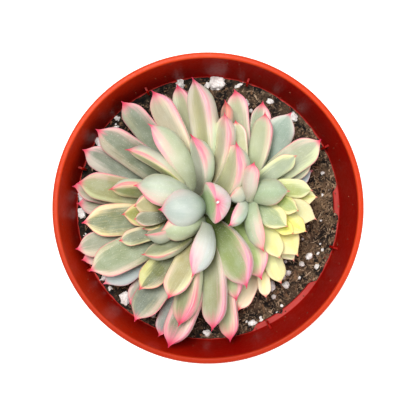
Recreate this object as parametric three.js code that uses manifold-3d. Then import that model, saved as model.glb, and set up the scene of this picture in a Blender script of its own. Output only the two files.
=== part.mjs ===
// A potted succulent in mm, +Z up, with the origin at the centre of the pot's foot.
// A round nursery pot holds potting mix; a short forked stem carries two rosettes of fat, pointed leaves that lean apart.
import * as THREE from "three";
import { mergeVertices } from "three/addons/utils/BufferGeometryUtils.js";
import Module from "manifold-3d";

// ---- driving dimensions ----
const POT_HEIGHT = 86; // floor of the foot ring to the top of the lip
const RIM_RADIUS = 54; // outside of the lip
const LIP_INNER = 51.9; // inside of the lip
const LIP_DEPTH = 3.4; // height of the thickened lip
const COLLAR_HEIGHT = 22.8; // lip top to the step under the collar
const LEDGE_DEPTH = 20; // lip top down to the inner ledge
const LEDGE_OUTER = 48.2; // collar bore at the ledge
const LEDGE_INNER = 46.3; // body bore at the ledge
const BODY_TAPER = 0.1885; // radius lost per mm going down
const WALL = 1.3;
const FLOOR_TOP = 4.2;
const FLOOR_UNDER = 2.6;
const FOOT_INNER = 32.3;
const DRAIN_RADIUS = 3.6;
const DRAIN_CIRCLE = 26.8;
const DRAIN_COUNT = 8;
const FIN_COUNT = 8;
const FIN_FIRST_DEG = 27.5;
const FIN_HEIGHT = 5;
const FIN_THICK = 0.9;
const GAP = 0.3; // clearance kept between neighbouring bodies
const SOIL_EDGE = 65.2; // height of the mix at the wall
const SOIL_CROWN = 2.4; // rise of the mix in the middle
const STEM_FOOT = 4.6; // trunk radius
const STEM_TIP = 2.6; // branch radius under a rosette's bud
const BACK_DEPTH = 0.9; // keeled back of a leaf, as a share of its half width
const FACE_RISE = 0.24; // inner face of a leaf, as a share of its half width

// Centre lines of the two branches (cubic control points, from the shared foot outwards).
const BRANCH_LEFT = [[1.4,-0.74,64], [-1.88,-0.72,71], [-10.11,-1.79,74], [-18.04,-2.76,86]];
const BRANCH_RIGHT = [[1.4,-0.74,64], [5.01,-0.36,70], [14.31,0.36,73], [22.32,0.7,82]];

// Leaves: node, point on the stem, four control points of the midrib (base to tip), direction the inner face looks in, half width.
// Upper leaves come one to a node. The lowest ones share the stem's node, and the crowded leaflets of each bud share one.
const LEAVES = [
  ["leaf_west_01", [-6.12,-1.33,72.72], [-7.52,7.09,77.65], [-14.25,18,76.66], [-22.25,28.53,78.4], [-30.16,37.44,81.93], [-0.28,-0.33,0.9], 4.64],
  ["leaf_west_02", [-8.33,-1.58,74.73], [-8.12,4.55,82.02], [-17.76,13.12,80.92], [-28.53,20.97,82.56], [-38.76,27.29,86.02], [-0.18,-0.4,0.9], 5.68],
  ["leaf_west_03", [-7.68,-1.51,74.13], [-13.65,2.86,74.99], [-23.65,9.38,74.19], [-34.36,15.62,75.72], [-44.23,20.84,78.79], [-0.04,-0.28,0.96], 4.53],
  ["leaf_west_04", [-12.38,-2.07,78.77], [-9,7.56,87.9], [-14.28,13.2,89.11], [-20.95,17.38,90.84], [-27.8,19.96,92.72], [-0.5,-0.84,0.2], 4.7],
  ["leaf_west_05", [-11,-1.9,77.32], [-14.09,1.75,81.34], [-24.44,5.13,80.06], [-35.49,7.59,81.08], [-45.66,9.05,83.68], [-0.03,-0.43,0.9], 5.34],
  ["stem", [-6.43,-1.36,72.99], [-13.75,0,72.7], [-25.19,3.05,72.44], [-37.17,5.87,74.18], [-48,8.17,77.17], [0.08,-0.2,0.98], 4.51],
  ["stem", [-5.22,-1.23,71.9], [-13.88,-1.45,69.39], [-25,-0.14,68.9], [-36.69,0.98,69.9], [-47.33,1.8,71.9], [0.06,-0.18,0.98], 4.02],
  ["leaf_west_06", [-11.69,-1.98,78.03], [-15.16,-3.16,80.88], [-24.84,-3.74,79.17], [-34.94,-4.34,80.04], [-44.05,-4.89,82.71], [0.06,0,1], 5.78],
  ["leaf_west_07", [-13.78,-2.24,80.35], [-13.94,-2.77,84.77], [-19.41,-2.2,83.72], [-24.88,-1.98,84.76], [-29.67,-2.07,87.21], [0.14,-0.18,0.97], 4.36],
  ["leaf_west_08", [-13.43,-2.2,79.94], [-13.93,3.46,85.17], [-20.47,5.91,85.82], [-27.46,6.82,87.45], [-33.89,6.49,89.6], [-0.02,-0.87,0.49], 4.64],
  ["bud_left", [-15.9,-2.5,82.99], [-14.46,1.37,88.73], [-18.41,1.79,88.88], [-22.1,1.49,90.34], [-25.11,0.68,92.56], [0.33,-0.48,0.81], 4.22],
  ["bud_left", [-15.9,-2.5,82.99], [-13.76,-2.74,89], [-17.97,-3.61,89.32], [-21.86,-3.89,91.14], [-25.01,-3.71,93.83], [0.34,0.37,0.86], 2.63],
  ["bud_left", [-13.78,-2.24,80.35], [-11.09,-4.13,87.11], [-14,-7.18,88.53], [-17.65,-8.79,90.46], [-21.39,-9.14,92.51], [-0.32,0.92,0.23], 5.18],
  ["bud_left", [-15.55,-2.46,82.52], [-15.26,-3.8,86.21], [-17.52,-5.46,86.26], [-20.02,-6.6,87], [-22.37,-7.21,88.18], [-0.11,0.66,0.74], 2.36],
  ["leaf_west_09", [-12.73,-2.11,79.15], [-12.59,-6.26,84], [-18.7,-8.2,83.16], [-25.07,-9.98,84.01], [-30.82,-11.4,86], [0.06,0.16,0.98], 2.96],
  ["leaf_west_10", [-12.38,-2.07,78.77], [-6.25,-9.62,87.76], [-11.31,-12.85,87.66], [-17.07,-14.99,88.49], [-22.59,-16.04,89.9], [-0.23,0.79,0.57], 4.41],
  ["leaf_north_01", [-6.74,-1.4,73.27], [-5.7,9.14,80.24], [-8.85,20.45,80.04], [-13.67,31.46,82.04], [-19.11,40.85,85.4], [-0.52,-0.35,0.78], 5.32],
  ["stem", [-2.99,-1.01,69.81], [-3.66,10.77,73.47], [-4.96,22.14,73.36], [-7.67,33.76,74.64], [-11.09,44.08,76.79], [-0.68,-0.22,0.7], 4.23],
  ["leaf_north_02", [-4.93,-1.2,71.64], [-1.83,10.56,79.9], [-0.8,22.42,80.96], [-2.21,34.49,83.41], [-5.24,45.18,86.57], [-0.87,-0.17,0.46], 7.19],
  ["stem", [-2.22,-0.94,69.04], [-0.79,11.48,73.72], [0.16,22.41,73.23], [-0.48,33.91,73.67], [-2.22,44.35,74.74], [-0.86,-0.05,0.5], 4.11],
  ["leaf_north_03", [-5.82,-1.3,72.44], [-0.42,7.7,82.02], [3.57,15.8,84.35], [5.51,24.5,87.93], [5.7,32.55,91.99], [-0.9,0.05,0.44], 5.69],
  ["leaf_north_04", [-2.22,-0.94,69.04], [2.06,9.25,76.41], [5.09,18.55,77.51], [6.39,28.57,79.36], [6.24,37.84,81.53], [-0.94,0.08,0.34], 3.65],
  ["stem", [0.02,-0.78,66.37], [12.26,8.7,70.14], [12.35,20.13,69.85], [11.46,32.01,71.25], [9.97,42.69,73.72], [-0.49,-0.12,0.86], 4.28],
  ["leaf_north_05", [-0.82,-0.83,67.46], [11.49,9.11,81.56], [11.14,16.5,81.27], [10.46,23.93,82.93], [9.61,30.42,85.81], [-0.16,-0.21,0.97], 3.33],
  ["leaf_north_06", [-5.52,-1.26,72.17], [2.71,3.47,84.78], [7.07,9.4,87.57], [9.29,15.94,91.62], [9.64,22.09,96.07], [-0.91,0.09,0.41], 7.74],
  ["leaf_north_07", [-8.65,-1.62,75.03], [-5.63,6.95,84.03], [-9.14,14.93,86.57], [-14.37,22.59,88.48], [-20.22,29.03,89.69], [-0.81,-0.43,-0.41], 6.18],
  ["leaf_north_08", [-9.65,-1.74,75.98], [-2.82,6.19,87.45], [-1.93,12.88,89.29], [-3.15,19.36,91.9], [-5.78,24.87,94.77], [-0.92,-0.26,0.29], 6.1],
  ["leaf_inner_01", [-9.31,-1.7,75.66], [-2.82,0.34,87.41], [-6.05,0.28,92.29], [-10.96,-0.1,94.93], [-16.49,-0.67,95.56], [-0.5,-0.11,-0.86], 6.96],
  ["leaf_inner_02", [-9.65,-1.74,75.98], [-6.29,3.11,85.82], [-11.52,5.49,90.21], [-18.16,7.02,92.93], [-24.99,7.75,94.06], [-0.45,-0.4,-0.8], 6.07],
  ["leaf_inner_03", [-7.05,-1.43,73.55], [-2.51,-3.83,83.68], [-5.63,-5.67,88.96], [-10.71,-7.12,92.3], [-16.58,-8.09,93.8], [-0.61,0.17,-0.77], 4.96],
  ["leaf_inner_04", [-9.98,-1.78,76.3], [-1.1,1.37,88.85], [1.1,1.74,92.93], [2.53,1.94,97.56], [3.22,1.97,102], [-0.93,-0.21,0.31], 7.21],
  ["leaf_inner_05", [-1.26,-0.86,67.99], [11.71,3.47,85.01], [11.57,0.06,88.89], [9.76,-3.23,92.54], [6.97,-6.03,95.55], [-0.95,0.18,-0.27], 3.58],
  ["leaf_inner_06", [-2.22,-0.94,69.04], [12.61,7.19,88.72], [11.18,5.28,90.08], [9.07,3.89,91.24], [6.71,3.05,92.09], [-0.66,0.69,-0.31], 3.76],
  ["leaf_southeast_01", [-9.31,-1.7,75.66], [-0.76,-6.19,87.72], [-1.05,-11.87,90.59], [-2.82,-17.83,92.69], [-5.46,-23.25,93.96], [-0.84,0.03,-0.54], 5.48],
  ["leaf_southeast_02", [-7.68,-1.51,74.13], [0.97,-5.55,85.01], [6.56,-12.36,86.52], [10.77,-19.88,89.83], [13.41,-26.95,94.05], [-0.71,-0.12,0.7], 7.53],
  ["leaf_southeast_03", [-1.73,-0.9,68.52], [8.04,-1.41,79.5], [12.46,-9.09,79.24], [16.11,-17.38,80.83], [18.73,-25.06,83.57], [-0.48,-0.07,0.87], 6.73],
  ["leaf_southeast_04", [18.67,0.52,78.34], [15.86,3.46,85.19], [15.42,-2.68,87.72], [16.66,-9.12,89.75], [18.97,-14.96,91.15], [0.93,0.04,-0.36], 4.5],
  ["stem", [-3.25,-1.03,70.07], [2.77,-8.51,77.66], [6.27,-16.3,78.04], [8.71,-24.72,79.67], [10.07,-32.53,82.02], [-0.71,-0.09,0.7], 4.38],
  ["leaf_southwest_01", [-9.65,-1.74,75.98], [-12.77,-7.76,79.25], [-22.45,-12.84,78.3], [-32.46,-17.75,80.23], [-41.43,-21.9,84.06], [0.09,0.16,0.98], 5.97],
  ["stem", [-8,-1.54,74.43], [-13.64,-5,75.36], [-24.67,-8.44,74.58], [-36.26,-11.87,75.76], [-46.79,-14.86,78.22], [0.05,0.11,0.99], 4.63],
  ["stem", [-4.93,-1.2,71.64], [-13.16,-6.54,69.34], [-23.91,-10.72,69.63], [-35.11,-15.06,71.54], [-45.18,-18.98,74.39], [0.14,0.05,0.99], 3.25],
  ["stem", [-6.43,-1.36,72.99], [-11.57,-6.47,73.28], [-20.11,-13.47,72.66], [-29.03,-20.79,73.92], [-37.08,-27.4,76.4], [0.07,0.06,1], 5.72],
  ["leaf_southwest_02", [-9.65,-1.74,75.98], [-7.77,-9.79,82], [-12.93,-16.46,81.41], [-18.6,-22.9,83], [-23.91,-28.33,86], [-0.08,0.28,0.96], 4.77],
  ["leaf_southwest_03", [-6.43,-1.36,72.99], [-7.18,-9.95,77], [-13.04,-20.3,75.93], [-19.68,-30.64,77.57], [-26.04,-39.65,81], [-0.14,0.22,0.96], 5.56],
  ["stem", [-4.07,-1.11,70.85], [-8.77,-8.7,70.42], [-15.34,-17.3,69.82], [-22.24,-26.35,70.69], [-28.51,-34.56,72.54], [0.04,0.05,1], 3.61],
  ["stem", [-2.99,-1.01,69.81], [-5.13,-10.84,71.48], [-8.57,-22.83,71.43], [-12.82,-35.06,73.39], [-17.14,-45.88,76.59], [-0.28,0.23,0.93], 3.52],
  ["leaf_south_01", [-1.26,-0.86,67.99], [-0.43,-10.05,73.51], [-3.21,-23.97,75.19], [-8.1,-37.31,79.43], [-13.93,-48.52,85.02], [-0.56,0.41,0.71], 6.13],
  ["leaf_south_02", [-8,-1.54,74.43], [-6.77,-9.87,79.49], [-6,-20.62,81.87], [-7.29,-31.3,85.84], [-9.95,-40.54,90.46], [-0.8,0.28,0.54], 6.25],
  ["leaf_south_03", [-6.74,-1.4,73.27], [-0.77,-8.39,82.2], [2.09,-19.72,82.36], [2.73,-31.54,84.62], [1.65,-42.21,88.17], [-0.75,0.06,0.66], 5.67],
  ["leaf_south_04", [-8.33,-1.58,74.73], [-2.84,-6.24,84.97], [-5.59,-15.32,86.13], [-9.42,-23.76,89.5], [-13.54,-30.65,94.07], [-0.35,0.46,0.82], 4.97],
  ["leaf_south_05", [-1.97,-0.92,68.78], [1.01,-9.34,73.15], [4.86,-21.86,73.31], [7.17,-35.15,75.54], [8.05,-47.31,79.01], [-0.65,-0,0.76], 4.48],
  ["stem", [11.77,0.1,72.96], [15.08,7.22,71.76], [17.49,17.45,71.4], [18.98,28.33,72.5], [19.61,38.29,74.56], [-0.58,0.01,0.82], 4.38],
  ["leaf_northeast_01", [14.26,0.27,74.76], [13.29,7.74,80.32], [16.98,16.06,80.21], [19.2,25.02,81.91], [20.05,33.3,84.75], [-0.68,0.05,0.73], 4.66],
  ["leaf_northeast_02", [12.47,0.15,73.46], [14.91,8.56,75.53], [19.74,17.11,75.09], [24.73,25.94,76.64], [29.19,33.85,79.47], [-0.07,-0.12,0.99], 5.5],
  ["leaf_northeast_03", [14.26,0.27,74.76], [16.16,7.06,79.24], [24.05,12.91,79.24], [32.17,18.65,81.54], [39.41,23.55,85.25], [-0.11,-0.2,0.97], 5.26],
  ["leaf_northeast_04", [16.83,0.42,76.76], [15.23,6.95,84], [20.15,11.37,84.27], [25.47,15.21,86.16], [30.39,18.14,89], [0.05,-0.47,0.88], 3.44],
  ["stem", [12.47,0.15,73.46], [18.74,5.06,71], [25.04,8.03,70.62], [31.67,11.02,71.43], [37.68,13.66,73], [-0.05,-0.12,0.99], 3.79],
  ["stem", [13.54,0.22,74.23], [17.03,6.06,76.08], [23.81,10.18,75.25], [30.96,14.37,76.01], [37.48,18.07,77.86], [-0.02,-0.11,0.99], 4.45],
  ["leaf_east_01", [19.78,0.58,79.37], [13.97,2.74,88.91], [13.79,6.15,92.92], [14.3,10.63,95.79], [15.26,15.32,97.46], [0.39,0.49,-0.78], 2.87],
  ["leaf_east_02", [17.56,0.46,77.38], [14.44,4.84,86.02], [18.22,5.48,89.28], [22.94,5.77,91.24], [27.73,5.76,92], [0.41,-0.23,-0.88], 4.88],
  ["leaf_east_03", [18.3,0.5,78.01], [18.81,7.69,82.17], [24.77,7.42,81.53], [30.92,6.9,82.27], [36.44,6.26,83.94], [-0.11,-0.17,0.98], 3.34],
  ["leaf_east_04", [15.72,0.36,75.87], [19.07,4.61,77.75], [25.63,4.47,76.77], [32.55,4.21,77.1], [38.84,3.89,78.36], [-0.03,-0.09,1], 3.9],
  ["bud_right", [20.51,0.62,80.08], [20.04,4.16,84.88], [24.19,2.5,85.21], [27.98,0.68,86.95], [31.03,-1.03,89.49], [-0.4,-0.04,0.91], 3.14],
  ["bud_right", [19.41,0.56,79.02], [18.71,2.09,83.87], [21.21,0.42,83.51], [23.83,-0.87,84.23], [26.22,-1.73,85.66], [-0.02,0.39,0.92], 2.15],
  ["leaf_east_05", [17.93,0.48,77.69], [15.16,3.11,85.44], [19.3,-0.7,85.86], [23.46,-3.99,88.02], [27.12,-6.46,91.2], [-0.12,0.4,0.91], 4.36],
  ["leaf_east_06", [18.3,0.5,78.01], [21.04,2.81,80.14], [26.82,0.67,79.51], [32.76,-1.67,80.32], [38.05,-3.85,82.09], [-0.13,-0.04,0.99], 4.57],
  ["leaf_east_07", [19.04,0.54,78.68], [20.94,0.35,81.66], [25.44,-2.77,81.69], [30.08,-5.78,83], [34.23,-8.32,85.09], [-0.1,0.23,0.97], 3.5],
  ["leaf_east_08", [18.67,0.52,78.34], [18.77,-0.7,82.79], [22.48,-3.8,83.22], [26.23,-6.64,84.92], [29.52,-8.95,87.33], [-0.14,0.33,0.93], 2.8],
  ["leaf_east_09", [14.99,0.31,75.31], [17.28,0.71,78.09], [22.06,-5.43,77.92], [27.12,-11.51,79.57], [31.73,-16.77,82.35], [-0.01,0.23,0.97], 5.83],
  ["stem", [13.54,0.22,74.23], [19.4,-2.88,72], [23.25,-8.36,72.07], [27.31,-13.96,73.29], [31,-18.93,75.2], [-0.02,0.18,0.98], 3.78],
  ["leaf_east_10", [17.2,0.44,77.06], [17.46,0.7,81.25], [19.63,-5.9,81.63], [22.2,-12.23,83.8], [24.73,-17.56,87.01], [0.14,0.35,0.93], 3.72],
  ["leaf_east_11", [14.26,0.27,74.76], [17.82,-1.43,74.58], [20.23,-10.15,74.53], [23,-19,76.3], [25.69,-26.82,79.18], [0.12,0.21,0.97], 3.58],
  ["stem", [13.54,0.22,74.23], [18.3,-6.12,72.33], [18.71,-14.91,72.78], [19.51,-23.92,74.7], [20.5,-31.92,77.47], [0.24,0.21,0.95], 2.37],
  ["stem", [14.99,0.31,75.31], [20.13,-15.15,71.86], [17.35,-22.59,71.42], [14.01,-30.19,72.24], [10.69,-36.93,73.89], [-0.28,0.21,0.94], 3.35],
];

const COLOURS = {
  pot: [0xd9492c, 0.42],
  mix: [0x3a2c22, 0.95],
  stem: [0x9fa58c, 0.7],
  west: [0xb5c2a0, 0.55],
  north: [0xb9c9b4, 0.55],
  inner: [0xdfe3d6, 0.55],
  southeast: [0xc2cdb0, 0.55],
  southwest: [0xb4c3a6, 0.55],
  south: [0xbccbb0, 0.55],
  northeast: [0xb2c3ae, 0.55],
  east: [0xebe3a0, 0.55],
  bud: [0xc9c890, 0.55],
};

const wasm = await Module();
wasm.setup();

const V = (a) => new THREE.Vector3(a[0], a[1], a[2]);

// three.js geometry to a solid, and back
function toSolid(geometry, weld = 1e-4) {
  const g = geometry.clone();
  g.deleteAttribute("normal");
  g.deleteAttribute("uv");
  const m = mergeVertices(g, weld);
  return new wasm.Manifold(
    new wasm.Mesh({
      numProp: 3,
      vertProperties: new Float32Array(m.attributes.position.array),
      triVerts: new Uint32Array(m.index.array),
    }),
  );
}

function toGeometry(solid) {
  const m = solid.getMesh();
  const n = m.numProp;
  const p = new Float32Array(m.numVert * 3);
  for (let i = 0; i < m.numVert; i++)
    p.set(m.vertProperties.subarray(i * n, i * n + 3), i * 3);
  const g = new THREE.BufferGeometry();
  g.setAttribute("position", new THREE.BufferAttribute(p, 3));
  g.setIndex(new THREE.BufferAttribute(new Uint32Array(m.triVerts), 1));
  g.computeVertexNormals();
  return g;
}

function lathe(profile, segments) {
  const g = new THREE.LatheGeometry(
    profile.map(([r, z]) => new THREE.Vector2(r, z)),
    segments,
  );
  g.rotateX(Math.PI / 2);
  const s = toSolid(g);
  if (s.volume() > 0) return s;
  const flip = new THREE.LatheGeometry(
    profile.map(([r, z]) => new THREE.Vector2(r, z)).reverse(),
    segments,
  );
  flip.rotateX(Math.PI / 2);
  return toSolid(flip);
}

// A closed skin over rings of points, with a point at each end
function skin(rings, first, last) {
  const n = rings[0].length;
  const pos = [];
  rings.forEach((r) => r.forEach((p) => pos.push(p.x, p.y, p.z)));
  pos.push(first.x, first.y, first.z, last.x, last.y, last.z);
  const a = rings.length * n;
  const b = a + 1;
  const idx = [];
  for (let j = 0; j < n; j++) {
    const k = (j + 1) % n;
    idx.push(a, k, j);
    for (let i = 0; i < rings.length - 1; i++) {
      const p = i * n;
      const q = p + n;
      idx.push(p + j, p + k, q + k, p + j, q + k, q + j);
    }
    const e = (rings.length - 1) * n;
    idx.push(e + j, e + k, b);
  }
  const g = new THREE.BufferGeometry();
  g.setAttribute("position", new THREE.Float32BufferAttribute(pos, 3));
  g.setIndex(idx);
  const s = toSolid(g);
  if (s.volume() > 0) return s;
  for (let i = 0; i < idx.length; i += 3)
    [idx[i + 1], idx[i + 2]] = [idx[i + 2], idx[i + 1]];
  g.setIndex(idx);
  return toSolid(g);
}

const inner = (z) => LEDGE_INNER - (POT_HEIGHT - LEDGE_DEPTH - z) * BODY_TAPER;

// ---- pot ----
function makePot() {
  const H = POT_HEIGHT;
  const ledge = H - LEDGE_DEPTH;
  const step = H - COLLAR_HEIGHT;
  let pot = lathe(
    [
      [0, FLOOR_UNDER],
      [FOOT_INNER - 0.5, FLOOR_UNDER],
      [FOOT_INNER, 0],
      [inner(0) + WALL - 0.5, 0],
      [inner(0.8) + WALL, 0.8],
      [inner(step) + WALL, step - 0.4],
      [LEDGE_OUTER + WALL - 0.3, step],
      [LEDGE_OUTER + WALL, step + 0.5],
      [LIP_INNER + 1.15, H - LIP_DEPTH],
      [RIM_RADIUS - 0.2, H - LIP_DEPTH],
      [RIM_RADIUS, H - LIP_DEPTH + 0.5],
      [RIM_RADIUS, H - 0.7],
      [RIM_RADIUS - 0.6, H],
      [LIP_INNER + 0.5, H],
      [LIP_INNER, H - 0.6],
      [LEDGE_OUTER, ledge],
      [LEDGE_INNER, ledge],
      [inner(FLOOR_TOP), FLOOR_TOP],
      [0, FLOOR_TOP],
    ],
    64,
  );
  for (let i = 0; i < FIN_COUNT; i++) {
    const t = ((FIN_FIRST_DEG + (360 / FIN_COUNT) * i) * Math.PI) / 180;
    const c = new THREE.Vector3(Math.cos(t), Math.sin(t), 0);
    const s = new THREE.Vector3(-Math.sin(t), Math.cos(t), 0);
    const at = (r, side, z) =>
      new THREE.Vector3(0, 0, z).addScaledVector(c, r).addScaledVector(s, side);
    const ring = (side) => [
      at(LEDGE_INNER + 0.25, side, ledge - 0.6),
      at(LEDGE_OUTER + 0.8, side, ledge - 0.6),
      at(LEDGE_OUTER + 0.9, side, ledge + FIN_HEIGHT),
      at(LEDGE_OUTER - 0.7, side, ledge + FIN_HEIGHT),
      at(LEDGE_INNER + 0.25, side, ledge + FIN_HEIGHT * 0.55),
    ];
    const h = FIN_THICK / 2;
    pot = pot.add(
      skin(
        [ring(-h), ring(h)],
        at(LEDGE_OUTER - 0.6, -h, ledge + 1.5),
        at(LEDGE_OUTER - 0.6, h, ledge + 1.5),
      ),
    );
  }
  for (let i = 0; i < DRAIN_COUNT; i++) {
    const t = ((22.5 + (360 / DRAIN_COUNT) * i) * Math.PI) / 180;
    const g = new THREE.CylinderGeometry(DRAIN_RADIUS, DRAIN_RADIUS, 6, 20);
    g.rotateX(Math.PI / 2);
    g.translate(
      DRAIN_CIRCLE * Math.cos(t),
      DRAIN_CIRCLE * Math.sin(t),
      FLOOR_TOP - 1,
    );
    pot = pot.subtract(toSolid(g));
  }
  return pot;
}

// ---- potting mix, with a gently lumpy top ----
const soilTop = (r, t) =>
  SOIL_EDGE +
  SOIL_CROWN * (1 - Math.pow(r / 46, 2)) +
  (r > 44.5
    ? 0
    : 0.45 * Math.sin(r * 0.55 + 3 * t) * Math.cos(0.31 * r - 2 * t) +
      0.25 * Math.sin(5 * t + r * 0.9));

function makeMix(lift) {
  const n = 48;
  const up = [44.5, 37, 28, 18.5, 9];
  const rings = [];
  const ring = (r, z) =>
    Array.from({ length: n }, (_, i) => {
      const t = (2 * Math.PI * i) / n;
      return new THREE.Vector3(
        r * Math.cos(t),
        r * Math.sin(t),
        typeof z === "number" ? z : z(t),
      );
    });
  rings.push(ring(inner(FLOOR_TOP + 0.35) - GAP - 0.1, FLOOR_TOP + 0.35));
  rings.push(ring(inner(SOIL_EDGE) - GAP - 0.1, SOIL_EDGE - 0.3 + lift));
  up.forEach((r) => rings.push(ring(r, (t) => soilTop(r, t) + lift)));
  return skin(
    rings,
    new THREE.Vector3(0, 0, FLOOR_TOP + 0.35),
    new THREE.Vector3(0, 0, SOIL_EDGE + SOIL_CROWN + lift),
  );
}

// The space that plant parts may fill: above the mix and inside the wall
function makeClearSpace() {
  const H = POT_HEIGHT;
  const g = 0.35;
  const space = lathe(
    [
      [0, SOIL_EDGE - 9],
      [LEDGE_INNER - 1.4, SOIL_EDGE - 9],
      [LEDGE_INNER - 0.5, H - LEDGE_DEPTH + 0.3],
      [LEDGE_INNER - 0.4, H - LEDGE_DEPTH + FIN_HEIGHT + 0.4],
      [LIP_INNER - g - 0.1, H - 2],
      [LIP_INNER - g - 0.1, H + 30],
      [0, H + 30],
    ],
    72,
  );
  return space;
}

// ---- stem: a trunk that forks at once into two leaning branches ----
function branch(ctrl, extra) {
  const c = new THREE.CubicBezierCurve3(...ctrl.map(V));
  const rings = [];
  const steps = 7;
  const n = 10;
  for (let i = 0; i <= steps; i++) {
    const u = i / steps;
    const p = c.getPoint(u);
    const d = c.getTangent(u);
    const a = new THREE.Vector3(0, 1, 0);
    a.addScaledVector(d, -a.dot(d)).normalize();
    const b = new THREE.Vector3().crossVectors(d, a);
    const r = THREE.MathUtils.lerp(STEM_FOOT, STEM_TIP, u) + extra;
    rings.push(
      Array.from({ length: n }, (_, k) => {
        const t = (2 * Math.PI * k) / n;
        return p
          .clone()
          .addScaledVector(a, r * Math.cos(t))
          .addScaledVector(b, r * Math.sin(t));
      }),
    );
  }
  const t0 = c.getTangent(0);
  const t1 = c.getTangent(1);
  return skin(
    rings,
    c.getPoint(0).addScaledVector(t0, -0.6 - extra),
    c.getPoint(1).addScaledVector(t1, 0.8 + extra),
  );
}
const makeStem = (extra) =>
  branch(BRANCH_LEFT, extra).add(branch(BRANCH_RIGHT, extra));

// ---- leaf: obovate outline, keeled back, nearly flat inner face, drawn out to a point ----
const SWELL = [
  [0, 0.5],
  [0.12, 0.64],
  [0.3, 0.87],
  [0.5, 0.985],
  [0.62, 1],
  [1, 1],
]; // share of the blade's length, share of the half width
const TAPER = [
  [0, 0.02],
  [0.08, 0.04],
  [0.18, 0.09],
  [0.3, 0.2],
  [0.44, 0.36],
  [0.62, 0.57],
  [0.88, 0.79],
  [1.2, 0.94],
  [1.7, 1],
]; // distance from the tip in half widths, share of the half width
function look(table, x) {
  for (let i = 1; i < table.length; i++)
    if (x <= table[i][0]) {
      const [a, b] = [table[i - 1], table[i]];
      return b[1] + ((a[1] - b[1]) * (b[0] - x)) / (b[0] - a[0]);
    }
  return 1;
}

function makeLeaf([, hub, p0, p1, p2, p3, face, w], extra) {
  const blade = new THREE.CubicBezierCurve3(V(p0), V(p1), V(p2), V(p3));
  const n0 = V(face);
  const rings = [];
  const ring = (p, d, width, back, front) => {
    const n = n0.clone().addScaledVector(d, -n0.dot(d)).normalize();
    const b = new THREE.Vector3().crossVectors(d, n);
    return Array.from({ length: 8 }, (_, k) => {
      const t = (2 * Math.PI * k) / 8;
      const s = Math.sin(t);
      return p
        .clone()
        .addScaledVector(b, (width + extra) * Math.cos(t))
        .addScaledVector(n, ((s > 0 ? front : back) + extra) * s);
    });
  };
  const h = V(hub);
  const toBase = V(p0).sub(h);
  const neck = toBase.length();
  if (neck > 0.8) {
    const d = toBase.clone().normalize();
    rings.push(ring(h, d, w * 0.3, w * 0.26, w * 0.2));
  }
  const slim = Math.max(V(p3).sub(V(p0)).length() / w, 3.4);
  const shoulder = 1 - 1.45 / slim;
  const stations = [
    0.02,
    0.5 * shoulder,
    shoulder,
    1 - 0.82 / slim,
    1 - 0.4 / slim,
    1 - 0.16 / slim,
  ];
  for (const u of stations) {
    const f = look(SWELL, u) * look(TAPER, (1 - u) * slim) * w;
    rings.push(
      ring(
        blade.getPoint(u),
        blade.getTangent(u),
        f,
        f * BACK_DEPTH * (u < 0.1 ? 0.8 : 1),
        f * FACE_RISE + 0.25,
      ),
    );
  }
  const tip = blade.getPoint(1).addScaledVector(blade.getTangent(1), extra);
  const first = neck > 0.8 ? h : V(p0);
  return skin(rings, first, tip);
}

// ---- build ----
const biggest = (solid) => {
  const parts = solid.decompose();
  if (parts.length < 2) return solid;
  return parts.reduce((a, b) => (b.volume() > a.volume() ? b : a));
};
// Welds points closer than a thousandth of a millimetre or two, and keeps the main body
const tidy = (solid) => biggest(toSolid(toGeometry(biggest(solid)), 2e-3));
const touch = (a, b) => {
  const p = a.boundingBox();
  const q = b.boundingBox();
  return [0, 1, 2].every((i) => p.min[i] < q.max[i] && q.min[i] < p.max[i]);
};

const pot = makePot();
const mixRaised = makeMix(0.35);
const space = makeClearSpace().subtract(mixRaised);
const core = makeStem(0);
const coreWide = makeStem(GAP);

const height = (row) => (row[5][2] * 2 + row[4][2] + row[3][2]) / 4;
const upper = LEAVES.filter((r) => r[0] !== "stem").sort(
  (a, b) => height(b) - height(a),
);
const lower = LEAVES.filter((r) => r[0] === "stem").sort(
  (a, b) => height(b) - height(a),
);

// Higher leaves keep their full shape; each one below is hollowed where a higher one presses on it.
const cutters = [];
function carve(row, peers) {
  let s = makeLeaf(row, 0);
  for (const c of cutters)
    if (c.node !== row[0] && !peers.has(c) && touch(s, c.solid))
      s = s.subtract(c.solid);
  return s;
}
const bodies = new Map();
for (const row of upper) {
  let s = carve(row, new Set()).subtract(coreWide).intersect(space);
  s = biggest(s);
  if (bodies.has(row[0])) s = bodies.get(row[0]).add(s);
  bodies.set(row[0], s);
  cutters.push({ node: row[0], solid: makeLeaf(row, GAP).add(makeLeaf(row, 0.05)) });
}
let stem = core;
for (const row of lower) {
  const s = biggest(carve(row, new Set()).intersect(space));
  stem = stem.add(s);
}
// Blades that a higher leaf has cut clean off the stem don't belong to it
stem = biggest(stem);

const mix = makeMix(0).subtract(coreWide);

const group = new THREE.Group();
group.name = "potted_succulent";
function put(name, solid, key) {
  const [color, roughness] = COLOURS[key];
  const mesh = new THREE.Mesh(
    toGeometry(solid),
    new THREE.MeshStandardMaterial({ color, roughness, metalness: 0 }),
  );
  mesh.name = name;
  group.add(mesh);
}
put("pot", pot, "pot");
put("potting_mix", mix, "mix");
put("stem", tidy(stem), "stem");
for (const [name, s] of bodies)
  put(name, tidy(s), name.startsWith("bud") ? "bud" : name.split("_")[1]);

export default group;
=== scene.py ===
# Potted succulent: the looks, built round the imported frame. Metres, +Z up, pot foot centred on the origin.
import math

import bmesh
import bpy
import numpy as np
from mathutils import Matrix, Vector, noise


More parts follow.
